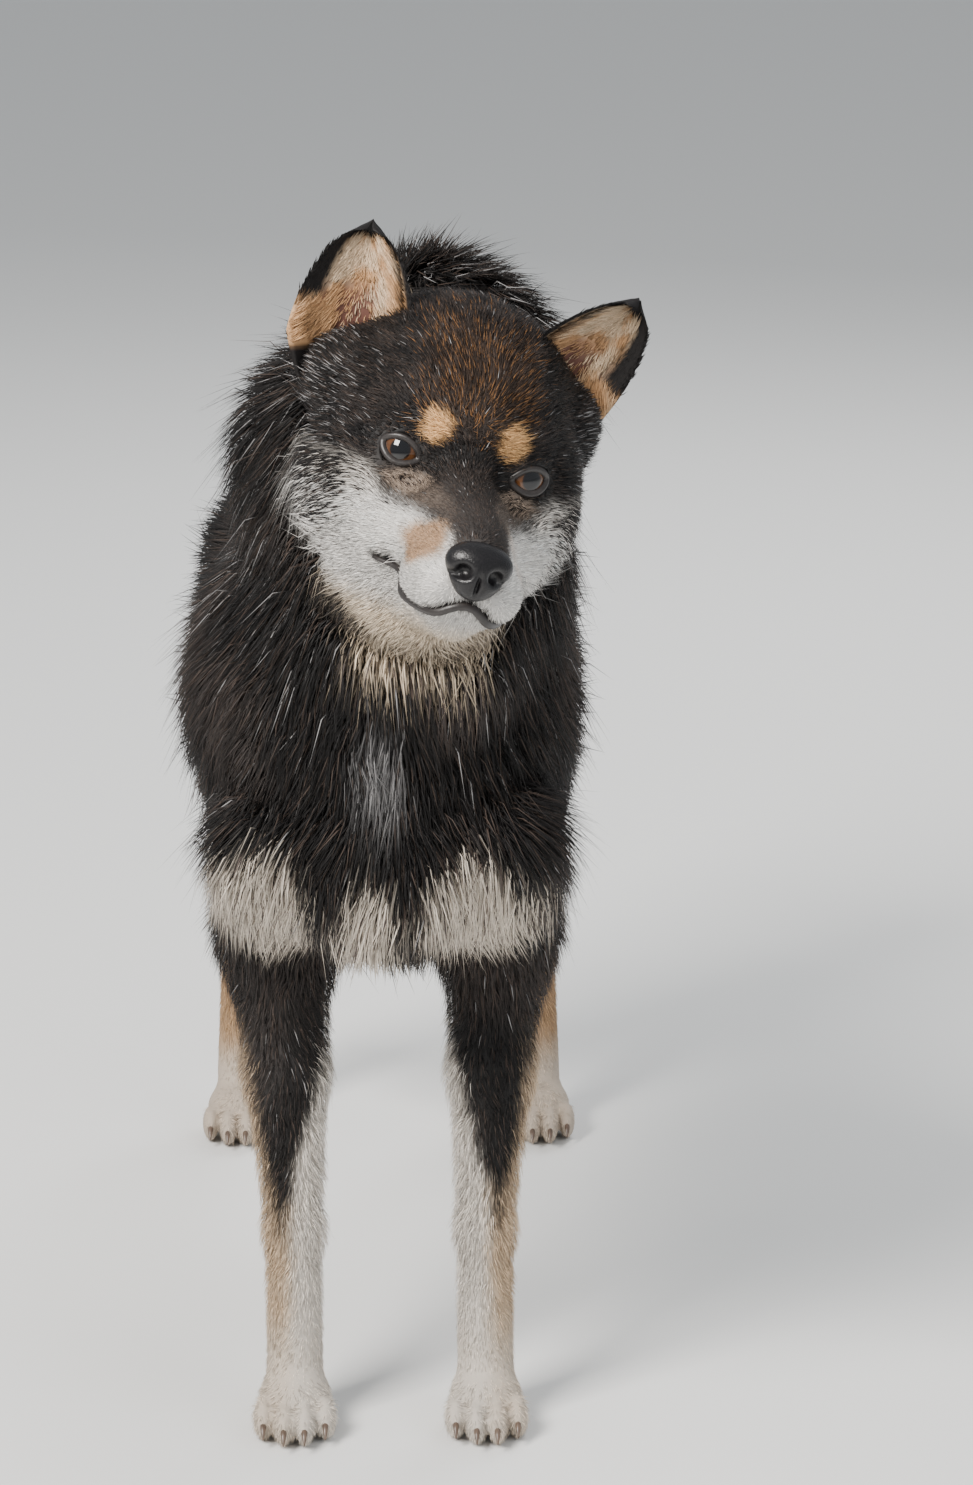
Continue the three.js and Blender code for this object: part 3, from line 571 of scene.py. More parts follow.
def head_markings(points, headness, wobble):
    """A dark skull and bridge, brow spots, pale cheeks and muzzle, and black lips and eye rims."""
    q = in_head(points)
    hx, hy, hz = np.abs(q[:, 0]), q[:, 1], q[:, 2]
    right = ramp(-q[:, 0], -4, 4)
    head = np.tile(BLACK, (len(points), 1))
    head = blend(head, SMOKE, 0.5 * ramp(speckle(points, 7, 11), 0.4, 0.8))
    head = blend(head, RUST, 0.05 * ramp(30 - hx, 0, 16) * ramp(hz, 8, 20) * ramp(-hz, -66, -48))
    # below the eyes: mixed grey and tan, then a dark wedge from the outer corner, then the pale cheek
    under = ramp(11 - np.hypot((hx - 21) * 0.75, (hz + 12) * 1.6) + wobble * 0.15, 0, 5) * ramp(-hy, -24, -10)
    head = blend(head, TAN * 0.45 + GREY * 0.5, 0.85 * under)
    cheek = ramp(hx - 35 - 0.5 * (hz + 12) + wobble * 0.25, -4, 5) * ramp(-hz + wobble * 0.3, 5, 14)
    head = blend(head, WHITE * 0.75 + CREAM * 0.2, 0.95 * cheek)
    bridge = 21 - 9 * ramp(-hy, 12, 66) + 0.1 * (hz + 22)
    head = blend(head, SMOKE * 0.9, 0.7 * ramp(-hy, 8, 24))
    side = ramp(hx - bridge + wobble * 0.12, -1.5, 3.0) * ramp(-hz, 15, 23)
    head = blend(head, WHITE, side)
    from_patch = np.hypot((hy - TAN_PATCH[0]) * 0.55, (hz - TAN_PATCH[1]) * 0.95)
    tan_patch = ramp(11 - from_patch + wobble * 0.3, 0, 5) * ramp(hx, 9, 13)
    head = blend(head, RUST * 0.7 + TAN * 0.45, (0.25 + 0.65 * right) * tan_patch)
    head = blend(head, WHITE * 0.85 + GREY * 0.1, 0.97 * ramp(-hz, 35, 42) * ramp(-hy, -30, 0))
    head = blend(head, CREAM, 0.9 * ramp(-hz + wobble * 0.2, 54, 68) * ramp(-hy, -80, -44))
    limit = 61 - 0.016 * np.maximum(0, -hz - 25) ** 2
    head = blend(head, BLACK, 0.97 * ramp(hx - limit + wobble * 0.3, -5, 4))
    from_brow = np.hypot(hx - BROW_SPOT[0], (hz - BROW_SPOT[1]) * 0.85)
    head = blend(head, BROW_TAN, 0.97 * (ramp(7.6 - from_brow + wobble * 0.06, 0, 2.6) * ramp(-hy, -12, 0)))
    face = (headness > 0) & (hy < 10)
    lips = np.full(len(points), 99.0)
    lips[face] = from_lips(q[face])
    head = blend(head, BLACK, ramp(4.4 - lips, 0, 1.6))
    return blend(head, BLACK, 0.9 * ramp(1.42 - eye_ring(q), 0, 0.25))


def nearest_on_tail(points):
    """The number of the nearest point along the tail's middle."""
    return np.argmin(((points[:, None, :] - tail_line[None, ::2]) ** 2).sum(axis=2), axis=1) * 2


def tail_markings(points):
    """Dark outside, pale along the inside of the curl."""
    near = nearest_on_tail(points)
    inward = CURL_MIDDLE - tail_line[near]
    inward /= np.linalg.norm(inward, axis=1)[:, None]
    facing = ((points - tail_line[near]) * inward).sum(axis=1) / TAIL_SKIN_RADIUS
    tail = np.tile(BLACK, (len(points), 1))
    tail = blend(tail, SMOKE, 0.6 * ramp(speckle(points, 14, 21), 0.4, 0.8))
    return blend(tail, CREAM, 0.9 * ramp(facing, 0.15, 0.75))


def markings(points, headness, tailness):
    """The colour of the coat at each place."""
    x, y, z = points.T
    wobble = (speckle(points, 26, 3) - 0.5) * 22 + (speckle(points, 9, 5) - 0.5) * 10
    colour = leg_markings(points, trunk_markings(points, wobble), wobble)
    throat = ramp(27 - np.abs(x - 13) + wobble * 0.4, 0, 9) * ramp(z + wobble * 0.4, 354, 368)
    colour = blend(colour, CREAM, throat * ramp(-y, 40, 62) * (1 - headness))
    colour = blend(colour, head_markings(points, headness, wobble), headness)
    if tailness.any():
        colour = blend(colour, tail_markings(points), tailness)
    return np.clip(colour, 0, 1)


def tail_share(points):
    """1 on the tail, 0 on the rest, and between where the tail grows out of the rump."""
    outer, headness = outer_form(points)
    trunk = outer + coat_depth(points, headness)
    return ramp(trunk - melt_all(tail_masses, points), -2, 8)


def grain_effect():
    """A node group for fine grain over a surface: its mask, and a normal bumped by it."""
    group = bpy.data.node_groups.new("fine_grain", "ShaderNodeTree")
    for label in ("Scale", "Strength", "Distance"):
        group.interface.new_socket(name=label, in_out="INPUT", socket_type="NodeSocketFloat")
    group.interface.new_socket(name="Grain", in_out="OUTPUT", socket_type="NodeSocketFloat")
    group.interface.new_socket(name="Normal", in_out="OUTPUT", socket_type="NodeSocketVector")
    given, result = group.nodes.new("NodeGroupInput"), group.nodes.new("NodeGroupOutput")
    where = group.nodes.new("ShaderNodeTexCoord")
    noise = group.nodes.new("ShaderNodeTexNoise")
    bump = group.nodes.new("ShaderNodeBump")
    group.links.new(where.outputs["Object"], noise.inputs["Vector"])
    group.links.new(given.outputs["Scale"], noise.inputs["Scale"])
    group.links.new(given.outputs["Strength"], bump.inputs["Strength"])
    group.links.new(given.outputs["Distance"], bump.inputs["Distance"])
    group.links.new(noise.outputs["Fac"], bump.inputs["Height"])
    group.links.new(noise.outputs["Fac"], result.inputs["Grain"])
    group.links.new(bump.outputs["Normal"], result.inputs["Normal"])
    return group


fine_grain = grain_effect()


def grain_in(tree, scale, strength=0.0, distance=0.0):
    """The fine grain placed in a material, with its own scale and depth."""
    grain = tree.nodes.new("ShaderNodeGroup")
    grain.node_tree = fine_grain
    grain.inputs["Scale"].default_value = scale
    grain.inputs["Strength"].default_value = strength
    grain.inputs["Distance"].default_value = distance
    return grain


def marking_colour(tree):
    """The colour painted on a piece's points."""
    tint = tree.nodes.new("ShaderNodeVertexColor")
    tint.layer_name = "marking"
    return tint.outputs["Color"]


hide_material, hide_tree, hide_shader = new_material("hide", 0.75)
hide_grain = grain_in(hide_tree, 900, 0.4, 0.0006)
hide_tree.links.new(marking_colour(hide_tree), hide_shader.inputs["Base Color"])
hide_tree.links.new(hide_grain.outputs["Normal"], hide_shader.inputs["Normal"])

skin_points, skin_faces = net_over(skin_height, [-118, -190, -6], [136, 432, 530], SKIN_CELL)
skin_points[:, 2] = np.maximum(skin_points[:, 2], 0.0)
skin_normals = slope_of(skin_height, skin_points)
skin_headness = outer_form(skin_points)[1]
skin_tailness = tail_share(skin_points)
skin_marks = markings(skin_points, skin_headness, skin_tailness)
skin = piece_from("skin", skin_points, skin_faces, hide_material)
colours_on(skin, skin_marks * 0.55)
flesh_nodes = [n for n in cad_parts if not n.startswith(("ear", "eye", "nose"))]
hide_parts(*flesh_nodes)
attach(skin, "root")


# Coat: a dense double coat, short on the face and feet, long on the neck, chest and breeches and
# longest on the tail. Each tuft is a thin closed blade rooted in the skin that bends over with the lie.
FLOOR_GAP = 0.3
TUFTS_TO_A_PIECE = 32000
TUFT_PATCH = 0.0015
TAIL_COAT = 15
hair_share, hair_widened = ((1.0, 1.0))
rng = np.random.default_rng(71)


def coat_material(name):
    material, tree, shader = new_material(name, 0.58)
    shader.inputs["Specular IOR Level"].default_value = 0.22
    tree.links.new(marking_colour(tree), shader.inputs["Base Color"])
    return material


fur_material = coat_material("fur")


def lie_of(points, normals, headness, tailness):
    """The way the hair runs at each place, along the skin."""
    x, y, z = points.T
    side = np.sign(x)
    trunk = np.stack([0.05 * side, np.ones(len(x)), -0.35 + 0 * x], axis=1)
    down = np.stack([0.05 * side, 0.12 + 0 * x, -np.ones(len(x))], axis=1)
    front = np.stack([0.2 * x / 60, 0.25 + 0 * x, -np.ones(len(x))], axis=1)
    lie = blend(trunk, down, ramp(-z, -262, -206))
    lie = blend(lie, front, ramp(-y, -50, 10) * ramp(z, 200, 240))
    q = in_head(points)
    hx, hy, hz = q.T
    away = np.stack([0.02 * hx, np.ones(len(hx)), 0.1 + 0.006 * hz], axis=1)
    cheek = np.stack([0.028 * hx, 0.75 + 0 * hx, -0.5 + 0.005 * hz], axis=1)
    local = blend(away, cheek, ramp(-hz, -4, 20) * ramp(hy, -20, 10))
    lie = blend(lie, local @ head_turn.T, headness)
    if tailness.any():
        lie = blend(lie, tail_along[nearest_on_tail(points)], tailness)
    swirl = np.stack([speckle(points, 11, seed) for seed in (31, 32, 33)], axis=1) - 0.5
    lie += swirl * 0.85 + rng.normal(0, 0.14, lie.shape)
    lie -= normals * (lie * normals).sum(axis=1)[:, None]
    return lie / np.maximum(np.linalg.norm(lie, axis=1), 1e-6)[:, None]


def hair_length(points, headness, tailness):
    z, y = points[:, 2], points[:, 1]
    q = in_head(points)
    body = 6 + 5 * ramp(z, 40, 120) + 12 * ramp(z, 170, 270) + 6 * ramp(-y, -60, 10) * ramp(z, 210, 280)
    body += 9 * ramp(y, 340, 380) * ramp(z, 190, 240)
    head = 4.5 + 3.0 * ramp(q[:, 1], -50, 0) + 14 * ramp(q[:, 1], 10, 60) * ramp(-q[:, 2], -20, 25)
    head = head * (0.55 + 0.45 * ramp(eye_ring(q), 1.3, 2.6))
    length = body * (1 - headness) + head * headness
    return length * (1 - tailness) + 34 * tailness


CHARTS = 8
CHART_LOW = np.array([-130.0, -200.0, 0.0])
CHART_SPAN = 660.0
CHART_EDGE = 0.004
FLAT_AXES = np.array([(1, 2), (0, 2), (0, 1)])


def chart_place(points, normals, part):
    """Where a root lies on the unwrapped skin: one small flat chart for each part and facing."""
    axis = np.abs(normals).argmax(axis=1)
    facing = axis * 2 + (normals[np.arange(len(axis)), axis] > 0)
    chart = part * 6 + facing
    place = np.take_along_axis(points - CHART_LOW, FLAT_AXES[axis], axis=1) / CHART_SPAN
    corner = np.stack([chart % CHARTS, chart // CHARTS], axis=1) / CHARTS
    return corner + CHART_EDGE + place * (1 / CHARTS - 2 * CHART_EDGE)


def part_of(points, headness, tailness):
    """The part of the dog that a root is on: trunk, four legs, head or tail."""
    x, y, z = points.T
    part = np.full(len(x), 0)
    part[(z < 215) & (y < 150)] = 1
    part[(z < 215) & (y < 150) & (x > 0)] = 2
    part[(z < 230) & (y > 200)] = 3
    part[(z < 230) & (y > 200) & (x > 0)] = 4
    part[headness > 0.5] = 5
    part[tailness > 0.5] = 6
    return part


def tufts(name, roots, normals, lie, length, width, lift, root_tint, tip_tint, charts, sink=1.2):
    """Closed blades: a point sunk in the skin, three corners round the middle, a tip bent with the lie."""
    n = len(roots)
    across = np.cross(normals, lie)
    rise = lift[:, None]
    first = np.cos(rise) * lie + np.sin(rise) * normals
    over = np.cos(rise) * normals - np.sin(rise) * lie
    late = rise * 0.3
    second = np.cos(late) * lie + np.sin(late) * normals
    length, width = length[:, None], width[:, None]
    base = roots - normals * sink
    middle = base + first * length * 0.42
    tip = middle + second * length * 0.6
    corners = [middle - across * width, middle + across * width, middle + over * width * 0.7]
    points = np.stack([base, *corners, tip], axis=1)
    pattern = np.array([(0, 2, 1), (0, 1, 3), (0, 3, 2), (4, 1, 2), (4, 3, 1), (4, 2, 3)])
    faces = (np.arange(n)[:, None, None] * 5 + pattern[None]).reshape(-1, 3)
    points[:, :, 2] = np.maximum(points[:, :, 2], FLOOR_GAP)
    piece = piece_from(name, points.reshape(-1, 3), faces, fur_material)
    belly = root_tint * 0.4 + tip_tint * 0.6
    colours_on(piece, np.stack([root_tint, belly, belly, belly, tip_tint], axis=1).reshape(-1, 3))
    uv = piece.data.uv_layers.new(name="OFBake")
    spread = TUFT_PATCH * np.array([(0, -1), (-1, 0), (1, 0), (0, 0.3), (0, 1)])
    at = (charts[:, None, :] + spread[None]).reshape(-1, 2)[faces.ravel()]
    uv.data.foreach_set("uv", at.astype(np.float32).ravel())
    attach(piece, "root")
    return piece


def scatter(points, faces, density):
    """Random places over four-sided faces, by density to a square millimetre: faces, and corner weights."""
    a, b, c, d = (points[faces[:, i]] for i in range(4))
    area = 0.5 * np.linalg.norm(np.cross(c - a, d - b), axis=1)
    want = area * density(0.25 * (a + b + c + d))
    count = np.floor(want + rng.random(len(want))).astype(int)
    face = np.repeat(np.arange(len(faces)), count)
    u, v = rng.random(len(face)), rng.random(len(face))
    weights = np.stack([(1 - u) * (1 - v), u * (1 - v), u * v, (1 - u) * v], axis=1)
    return face, weights


def hair_density(points):
    """How many tufts grow on a square millimetre, with none on the eyes, the nose or the lips."""
    headness = outer_form(points)[1]
    tail = tail_share(points)
    q = in_head(points)
    z = points[:, 2]
    body = 0.46 + 0.25 * ramp(-z, -190, -60)
    head = 1.9 - 1.1 * ramp(q[:, 1], 0, 70)
    from_nose = np.linalg.norm((q - [0, NOSE_TIP + 4, -31]) / [1, 1.2, 0.8], axis=1)
    grown = ramp(eye_ring(q), 1.12, 1.3) * ramp(from_nose, 12, 14)
    grown = grown * ramp(from_lips(q), 2.4, 3.6)
    out = (body * (1 - headness) + head * headness * grown) * (1 - tail) + 0.4 * tail
    return out * (z > 1.5) * hair_share


face_at, weights = scatter(skin_points, skin_faces, hair_density)
corner = skin_faces[face_at]
roots = (skin_points[corner] * weights[:, :, None]).sum(axis=1)
root_normals = (skin_normals[corner] * weights[:, :, None]).sum(axis=1)
root_normals /= np.linalg.norm(root_normals, axis=1)[:, None]
root_headness = (skin_headness[corner] * weights).sum(axis=1)
root_tailness = (skin_tailness[corner] * weights).sum(axis=1)
root_lie = lie_of(roots, root_normals, root_headness, root_tailness)
root_length = hair_length(roots, root_headness, root_tailness) * rng.uniform(0.72, 1.12, len(roots))
root_width = np.clip(0.11 + 0.0105 * root_length, 0.17, 0.4) * hair_widened
depth_here = coat_depth(roots, root_headness) * (1 - root_tailness) + TAIL_COAT * root_tailness
stray = rng.random(len(roots)) < 0.06
root_length = np.where(stray, root_length * 1.35, root_length)
root_width = np.where(stray, root_width * 0.6, root_width)
off_head = 1 - root_headness
steepness = depth_here * (1.95 + 0.5 * ramp(roots[:, 2], 230, 300) * off_head) / root_length
root_lift = np.arcsin(np.clip(steepness, 0.12, 0.85)) * rng.uniform(0.55, 1.1, len(roots))
root_lift = root_lift * np.where(stray, 1.35, 1)
# the coat lies closer at the flanks, where the dog is widest
root_lift = root_lift * (1 - 0.5 * ramp(np.abs(roots[:, 0]), 80, 94))
root_length = root_length * (1 - 0.25 * ramp(np.abs(roots[:, 0]), 84, 96))
# hair of one colour strays over the edge of the next, least on the face and the lower legs
straying = 2.8 - 1.9 * root_headness - 1.6 * ramp(-roots[:, 2], -200, -120) * off_head
ragged = rng.normal(0, 1, roots.shape) * straying[:, None]
tint = markings(roots + root_lie * root_length[:, None] * 0.45 + ragged, root_headness, root_tailness)
root_q = in_head(roots)
grizzle = 0.6 * ramp(np.abs(root_q[:, 0]), 36, 52) * ramp(root_q[:, 2], -58, -34) * root_headness
grizzle += 0.3 * ramp(-root_q[:, 2], 2, 10) * ramp(root_q[:, 2], -26, -12) * root_headness
darkness = tint.mean(axis=1)
swapped = (rng.random(len(roots)) < grizzle) & (darkness > 0.25)
tint[swapped] = BLACK * 1.5
lit_share = 0.01 + 0.03 * ramp(roots[:, 2], 350, 400) * off_head
lit_share += 0.12 * ramp(np.abs(root_q[:, 0]), 40, 56) * root_headness
lit = (rng.random(len(roots)) < lit_share) & (darkness < 0.12)
tint[lit] = GREY * 0.9
forehead = ramp(32 - np.abs(root_q[:, 0]), 0, 18)
ticked = 0.17 * forehead * ramp(root_q[:, 2], 4, 16) * ramp(-root_q[:, 2], -68, -46) * root_headness
ticked = (rng.random(len(roots)) < ticked) & (darkness < 0.12)
tint[ticked] = RUST * 0.6
dusky = (rng.random(len(roots)) < 0.12 * off_head) & (darkness > 0.3) & (roots[:, 2] > 200)
tint[dusky] = SMOKE * 1.6
shade = rng.uniform(0.65, 1.3, len(roots))[:, None]
tip_tint = np.clip(tint * shade, 0, 1)
darkness = tint.mean(axis=1)
guard = (rng.random(len(roots)) < 0.06) & (darkness > 0.3)
tip_tint[guard] *= 0.5
brown = (rng.random(len(roots)) < 0.16) & (darkness < 0.1)
tip_tint[brown] = tip_tint[brown] * 0.6 + np.array([0.05, 0.034, 0.026])
root_tint = np.where((darkness < 0.1)[:, None], tip_tint * 0.7 + 0.01, tip_tint * 0.7)
root_chart = chart_place(roots, root_normals, part_of(roots, root_headness, root_tailness))
order = np.argsort(root_headness * 4 + root_tailness * 8 + roots[:, 1] / 2000, kind="stable")
for number, start in enumerate(range(0, len(order), TUFTS_TO_A_PIECE)):
    pick = order[start : start + TUFTS_TO_A_PIECE]
    tufts(
        f"coat_{number + 1}", roots[pick], root_normals[pick], root_lie[pick], root_length[pick],
        root_width[pick], root_lift[pick], root_tint[pick], tip_tint[pick], root_chart[pick],
    )


# Eyes: brown eyeballs, glossy and wet, deep between dark lids. The iris is painted over the front of
# the ball round its line of sight, and the lids are a rim of black skin that runs out under the fur.
SIDE_NAMES = {-1: "right", 1: "left"}
EYE_ROWS, EYE_AROUND = 47, 48
LID_AROUND = 56
LID_RINGS = ((0.9, 10.2), (0.97, 10.75), (1.04, 11.3), (1.12, 11.75), (1.2, 11.9), (1.3, 11.2))
IRIS = np.array([0.075, 0.03, 0.011])
IRIS_RIM = np.array([0.02, 0.009, 0.005])
PUPIL = np.array([0.003, 0.003, 0.004])
DARK_RING = np.array([0.012, 0.009, 0.008])
EYE_WHITE = np.array([0.09, 0.065, 0.055])


def almond(angle):
    """The outline of the opening between the lids, flatter below its outer corners."""
    lift = np.sin(angle) * (1 - 0.28 * np.cos(angle) ** 2) * np.where(np.sin(angle) > 0, 0.88, 1.0)
    return EYE_OPENING[0] / 2 * np.cos(angle), EYE_OPENING[1] / 2 * lift


def from_head(points):
    """Places in the head, in millimetres from the floor between the forepaws."""
    return np.asarray(points) @ head_turn.T + EYES_AT


def rows_closed(rows, around, capped=True):
    """Triangles over a grid of rings. Two points after the grid close its first ring and its last."""
    i, j = np.meshgrid(np.arange(rows - 1), np.arange(around), indexing="ij")
    a, b = i * around + j, i * around + (j + 1) % around
    c, d = b + around, a + around
    faces = [np.stack([a, b, c], -1).reshape(-1, 3), np.stack([a, c, d], -1).reshape(-1, 3)]
    if capped:
        ring = np.arange(around)
        last = (rows - 1) * around
        cap = np.full(around, rows * around)
        faces.append(np.stack([cap, (ring + 1) % around, ring], -1))
        faces.append(np.stack([cap + 1, last + ring, last + (ring + 1) % around], -1))
    return np.vstack(faces)


def two_tones(tree, mask, dark, light):
    """A colour that goes from one tone to another with a mask."""
    tones = tree.nodes.new("ShaderNodeValToRGB")
    tones.color_ramp.elements[0].color = (*dark, 1)
    tones.color_ramp.elements[1].color = (*light, 1)
    tree.links.new(mask, tones.inputs["Fac"])
    return tones.outputs["Color"]


eye_material, eye_tree, eye_shader = new_material("eye_wet", 0.06)
eye_shader.inputs["Coat Weight"].default_value = 0.5
eye_shader.inputs["Specular IOR Level"].default_value = 0.35
eye_shader.inputs["Coat Roughness"].default_value = 0.02
eye_tree.links.new(marking_colour(eye_tree), eye_shader.inputs["Base Color"])

lid_material, lid_tree, lid_shader = new_material("lid_skin", 0.42)
lid_grain = grain_in(lid_tree, 700, 0.3, 0.0003)
lid_tint = two_tones(lid_tree, lid_grain.outputs["Grain"], (0.008, 0.007, 0.007), (0.03, 0.024, 0.022))
lid_tree.links.new(lid_tint, lid_shader.inputs["Base Color"])
lid_tree.links.new(lid_grain.outputs["Normal"], lid_shader.inputs["Normal"])

polar = np.linspace(0, np.pi, EYE_ROWS + 2)[1:-1]
around_eye = np.linspace(0, 2 * np.pi, EYE_AROUND, endpoint=False)
p, r = np.meshgrid(polar, around_eye, indexing="ij")
bulge = EYEBALL_RADIUS + 0.3 * np.exp(-((p / 0.6) ** 2))
ball = np.stack([bulge * np.sin(p) * np.cos(r), -bulge * np.cos(p), bulge * np.sin(p) * np.sin(r)], -1)
ball = np.vstack([ball.reshape(-1, 3), [[0, -EYEBALL_RADIUS - 0.3, 0], [0, EYEBALL_RADIUS, 0]]])
off_sight = np.degrees(np.arctan2(np.hypot(ball[:, 0], ball[:, 2]), -ball[:, 1]))
fibres = np.stack([np.cos(r).ravel() * 9, np.sin(r).ravel() * 9, p.ravel() * 3], -1)
streak = np.append(0.75 + 0.5 * speckle(fibres, 1.0, 41), [1, 1])[:, None]
ball_colour = blend(np.tile(IRIS, (len(ball), 1)) * streak, IRIS_RIM, ramp(off_sight, 32, 44))
ball_colour = blend(ball_colour, PUPIL, ramp(-off_sight, -26, -22))
ball_colour = blend(ball_colour, DARK_RING, ramp(off_sight, 43, 47))
ball_colour = blend(ball_colour, EYE_WHITE, ramp(off_sight, 50, 56))
ball_faces = rows_closed(EYE_ROWS, EYE_AROUND)[:, ::-1]

for s in SIDES:
    centre = np.array([s * EYE_SPACING / 2, 2.0, 0.0])
    turn = eye_turn(s)
    ball_at = from_head(ball @ turn.T + centre)
    eye = piece_from(f"eyeball_{SIDE_NAMES[s]}", ball_at, ball_faces, eye_material)
    colours_on(eye, ball_colour)
    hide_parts(f"eye_{SIDE_NAMES[s]}")
    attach(eye, "root")

    ax, az = almond(np.linspace(0, 2 * np.pi, LID_AROUND, endpoint=False))
    rings = []
    for grow, reach in LID_RINGS:
        x, z = ax * grow, az * (grow + (grow - 0.9) * 0.35)
        y = -np.sqrt(np.maximum(reach ** 2 - x ** 2 - z ** 2, 1.0))
        rings.append(np.stack([x, y, z], -1) @ turn.T + centre)
    lid_faces = rows_closed(len(LID_RINGS), LID_AROUND, capped=False)
    lid = piece_from(f"eyelids_{SIDE_NAMES[s]}", from_head(np.vstack(rings)), lid_faces, lid_material)
    solid = lid.modifiers.new("thickness", "SOLIDIFY")
    solid.thickness = 0.0006
    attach(lid, "root")


# Nose: bare black leather with open nostrils and a groove down its middle. It is one rounded pad with
# a fine pebbled skin, set into the muzzle's end.
NOSE_CELL = 0.7
nose_masses = [
    (6, egg([0, NOSE_TIP + 9, -29], [14, 9.5, 9])),
    (6, egg([0, NOSE_TIP + 8, -36], [9, 8, 8])),
    *[(-2.5, egg([s * 7, NOSE_TIP + 0.5, -32.5], [3.6, 5, 3])) for s in SIDES],
    *[(-2, egg([s * 12, NOSE_TIP + 4, -34.5], [4, 4, 1.5])) for s in SIDES],
    (-2, egg([0, NOSE_TIP - 1, -41], [0.9, 4, 8])),
]
nose_low, nose_high = [-18, NOSE_TIP - 5, -50], [18, NOSE_TIP + 26, -14]
nose_points, nose_faces = net_over(lambda q: melt_all(nose_masses, q), nose_low, nose_high, NOSE_CELL)
nose_material, nose_tree, nose_shader = new_material("nose_leather", 0.34)
nose_shader.inputs["Specular IOR Level"].default_value = 0.25
nose_shader.inputs["Coat Weight"].default_value = 0.2
nose_shader.inputs["Coat Roughness"].default_value = 0.2
nose_where = nose_tree.nodes.new("ShaderNodeTexCoord")
nose_pebbles = nose_tree.nodes.new("ShaderNodeTexVoronoi")
nose_pebbles.inputs["Scale"].default_value = 1500
pebble_height = nose_pebbles.outputs["Distance"]
nose_tint = two_tones(nose_tree, pebble_height, (0.003, 0.003, 0.0035), (0.012, 0.011, 0.012))
nose_bump = nose_tree.nodes.new("ShaderNodeBump")
nose_bump.inputs["Strength"].default_value = 0.5
nose_bump.inputs["Distance"].default_value = 0.00025
nose_tree.links.new(nose_where.outputs["Object"], nose_pebbles.inputs["Vector"])
nose_tree.links.new(pebble_height, nose_bump.inputs["Height"])
nose_tree.links.new(nose_tint, nose_shader.inputs["Base Color"])
nose_tree.links.new(nose_bump.outputs["Normal"], nose_shader.inputs["Normal"])
nose = piece_from("nose_pad", from_head(nose_points), nose_faces, nose_material)
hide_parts("nose")
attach(nose, "root")


# Lips: the edge of black skin that shows along the closed mouth, from one corner to the other. It is a
# soft roll, thinner towards the corners, sunk in the groove between the jaws.
LIP_SIDES = 8
LIP_RADIUS = 2.0
lip_ring = np.linspace(0, 2 * np.pi, LIP_SIDES, endpoint=False)
lip_along = np.gradient(mouth_line, axis=0)
lip_along /= np.linalg.norm(lip_along, axis=1)[:, None]
lip_out = slope_of(height_of_head, mouth_line)
lip_up = np.cross(lip_along, lip_out)
lip_size = LIP_RADIUS * np.sin(np.linspace(0.12, np.pi - 0.12, MOUTH_POINTS)) ** 0.4
lip_round = np.cos(lip_ring)[None, :, None] * lip_out[:, None, :] * 1.1
lip_round = lip_round + np.sin(lip_ring)[None, :, None] * lip_up[:, None, :] * 0.9
lip_points = (mouth_line[:, None, :] + lip_size[:, None, None] * lip_round).reshape(-1, 3)
lip_points = np.vstack([lip_points, mouth_line[:1], mouth_line[-1:]])
lips = piece_from("lips", from_head(lip_points), rows_closed(MOUTH_POINTS, LIP_SIDES), lid_material)
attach(lips, "root")


# Ears: thick upright cups of gristle, open to the front, black outside and along the rim. Inside, long
# cream and orange hair sweeps up and inward from the edges; bare pinkish brown skin shows at the base.
EAR_LENGTH = 72.0
EAR_WIDTH = 49.0
EAR_PLACES = {"right": ([-50, 50, 37], [-55, 40, 88], -14), "left": ([40.5, 50, 38], [67, 40, 85], 20)}
EAR_CHARTS = {"right": [0.26, 0.885], "left": [0.51, 0.885]}
EAR_ROWS, EAR_HALF = 40, 20
EAR_SKIN = np.array([0.13, 0.06, 0.045])
EAR_TAN = RUST * 0.5 + TAN * 0.6
EAR_HAIRS, EAR_HAIR_WIDTH = ((13000, 0.24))


def ear_point(t, v, side):
    """A place on an ear in its own frame: t from foot to tip, v across it, side 1 inside and -1 outside."""
    root = np.minimum(1, 0.72 + t)
    wide = EAR_WIDTH / 2 * root * np.sqrt(np.maximum(1 - t ** 2.1, 0)) * (1 + 0.1 * np.sin(np.pi * t)) + 1.2
    edge = np.sqrt(np.maximum(0, 1 - v * v))
    depth = 5 - (17 - 11 * t) * (1 - v * v) + side * (6 - 3.4 * t) * edge / 2
    return np.stack([v * wide, depth, EAR_LENGTH * t - 22 - 3 * v * v * t], -1)


def ear_frame(foot, tip, opening):
    """An ear's own frame in the head: across it, out of its back, and up from its foot."""
    up = np.array(tip, dtype=float) - foot
    up /= np.linalg.norm(up)
    facing = np.array([math.sin(math.radians(opening)), -math.cos(math.radians(opening)), 0])
    across = np.cross(facing, up)
    across /= np.linalg.norm(across)
    return np.stack([across, np.cross(up, across), up], axis=1)


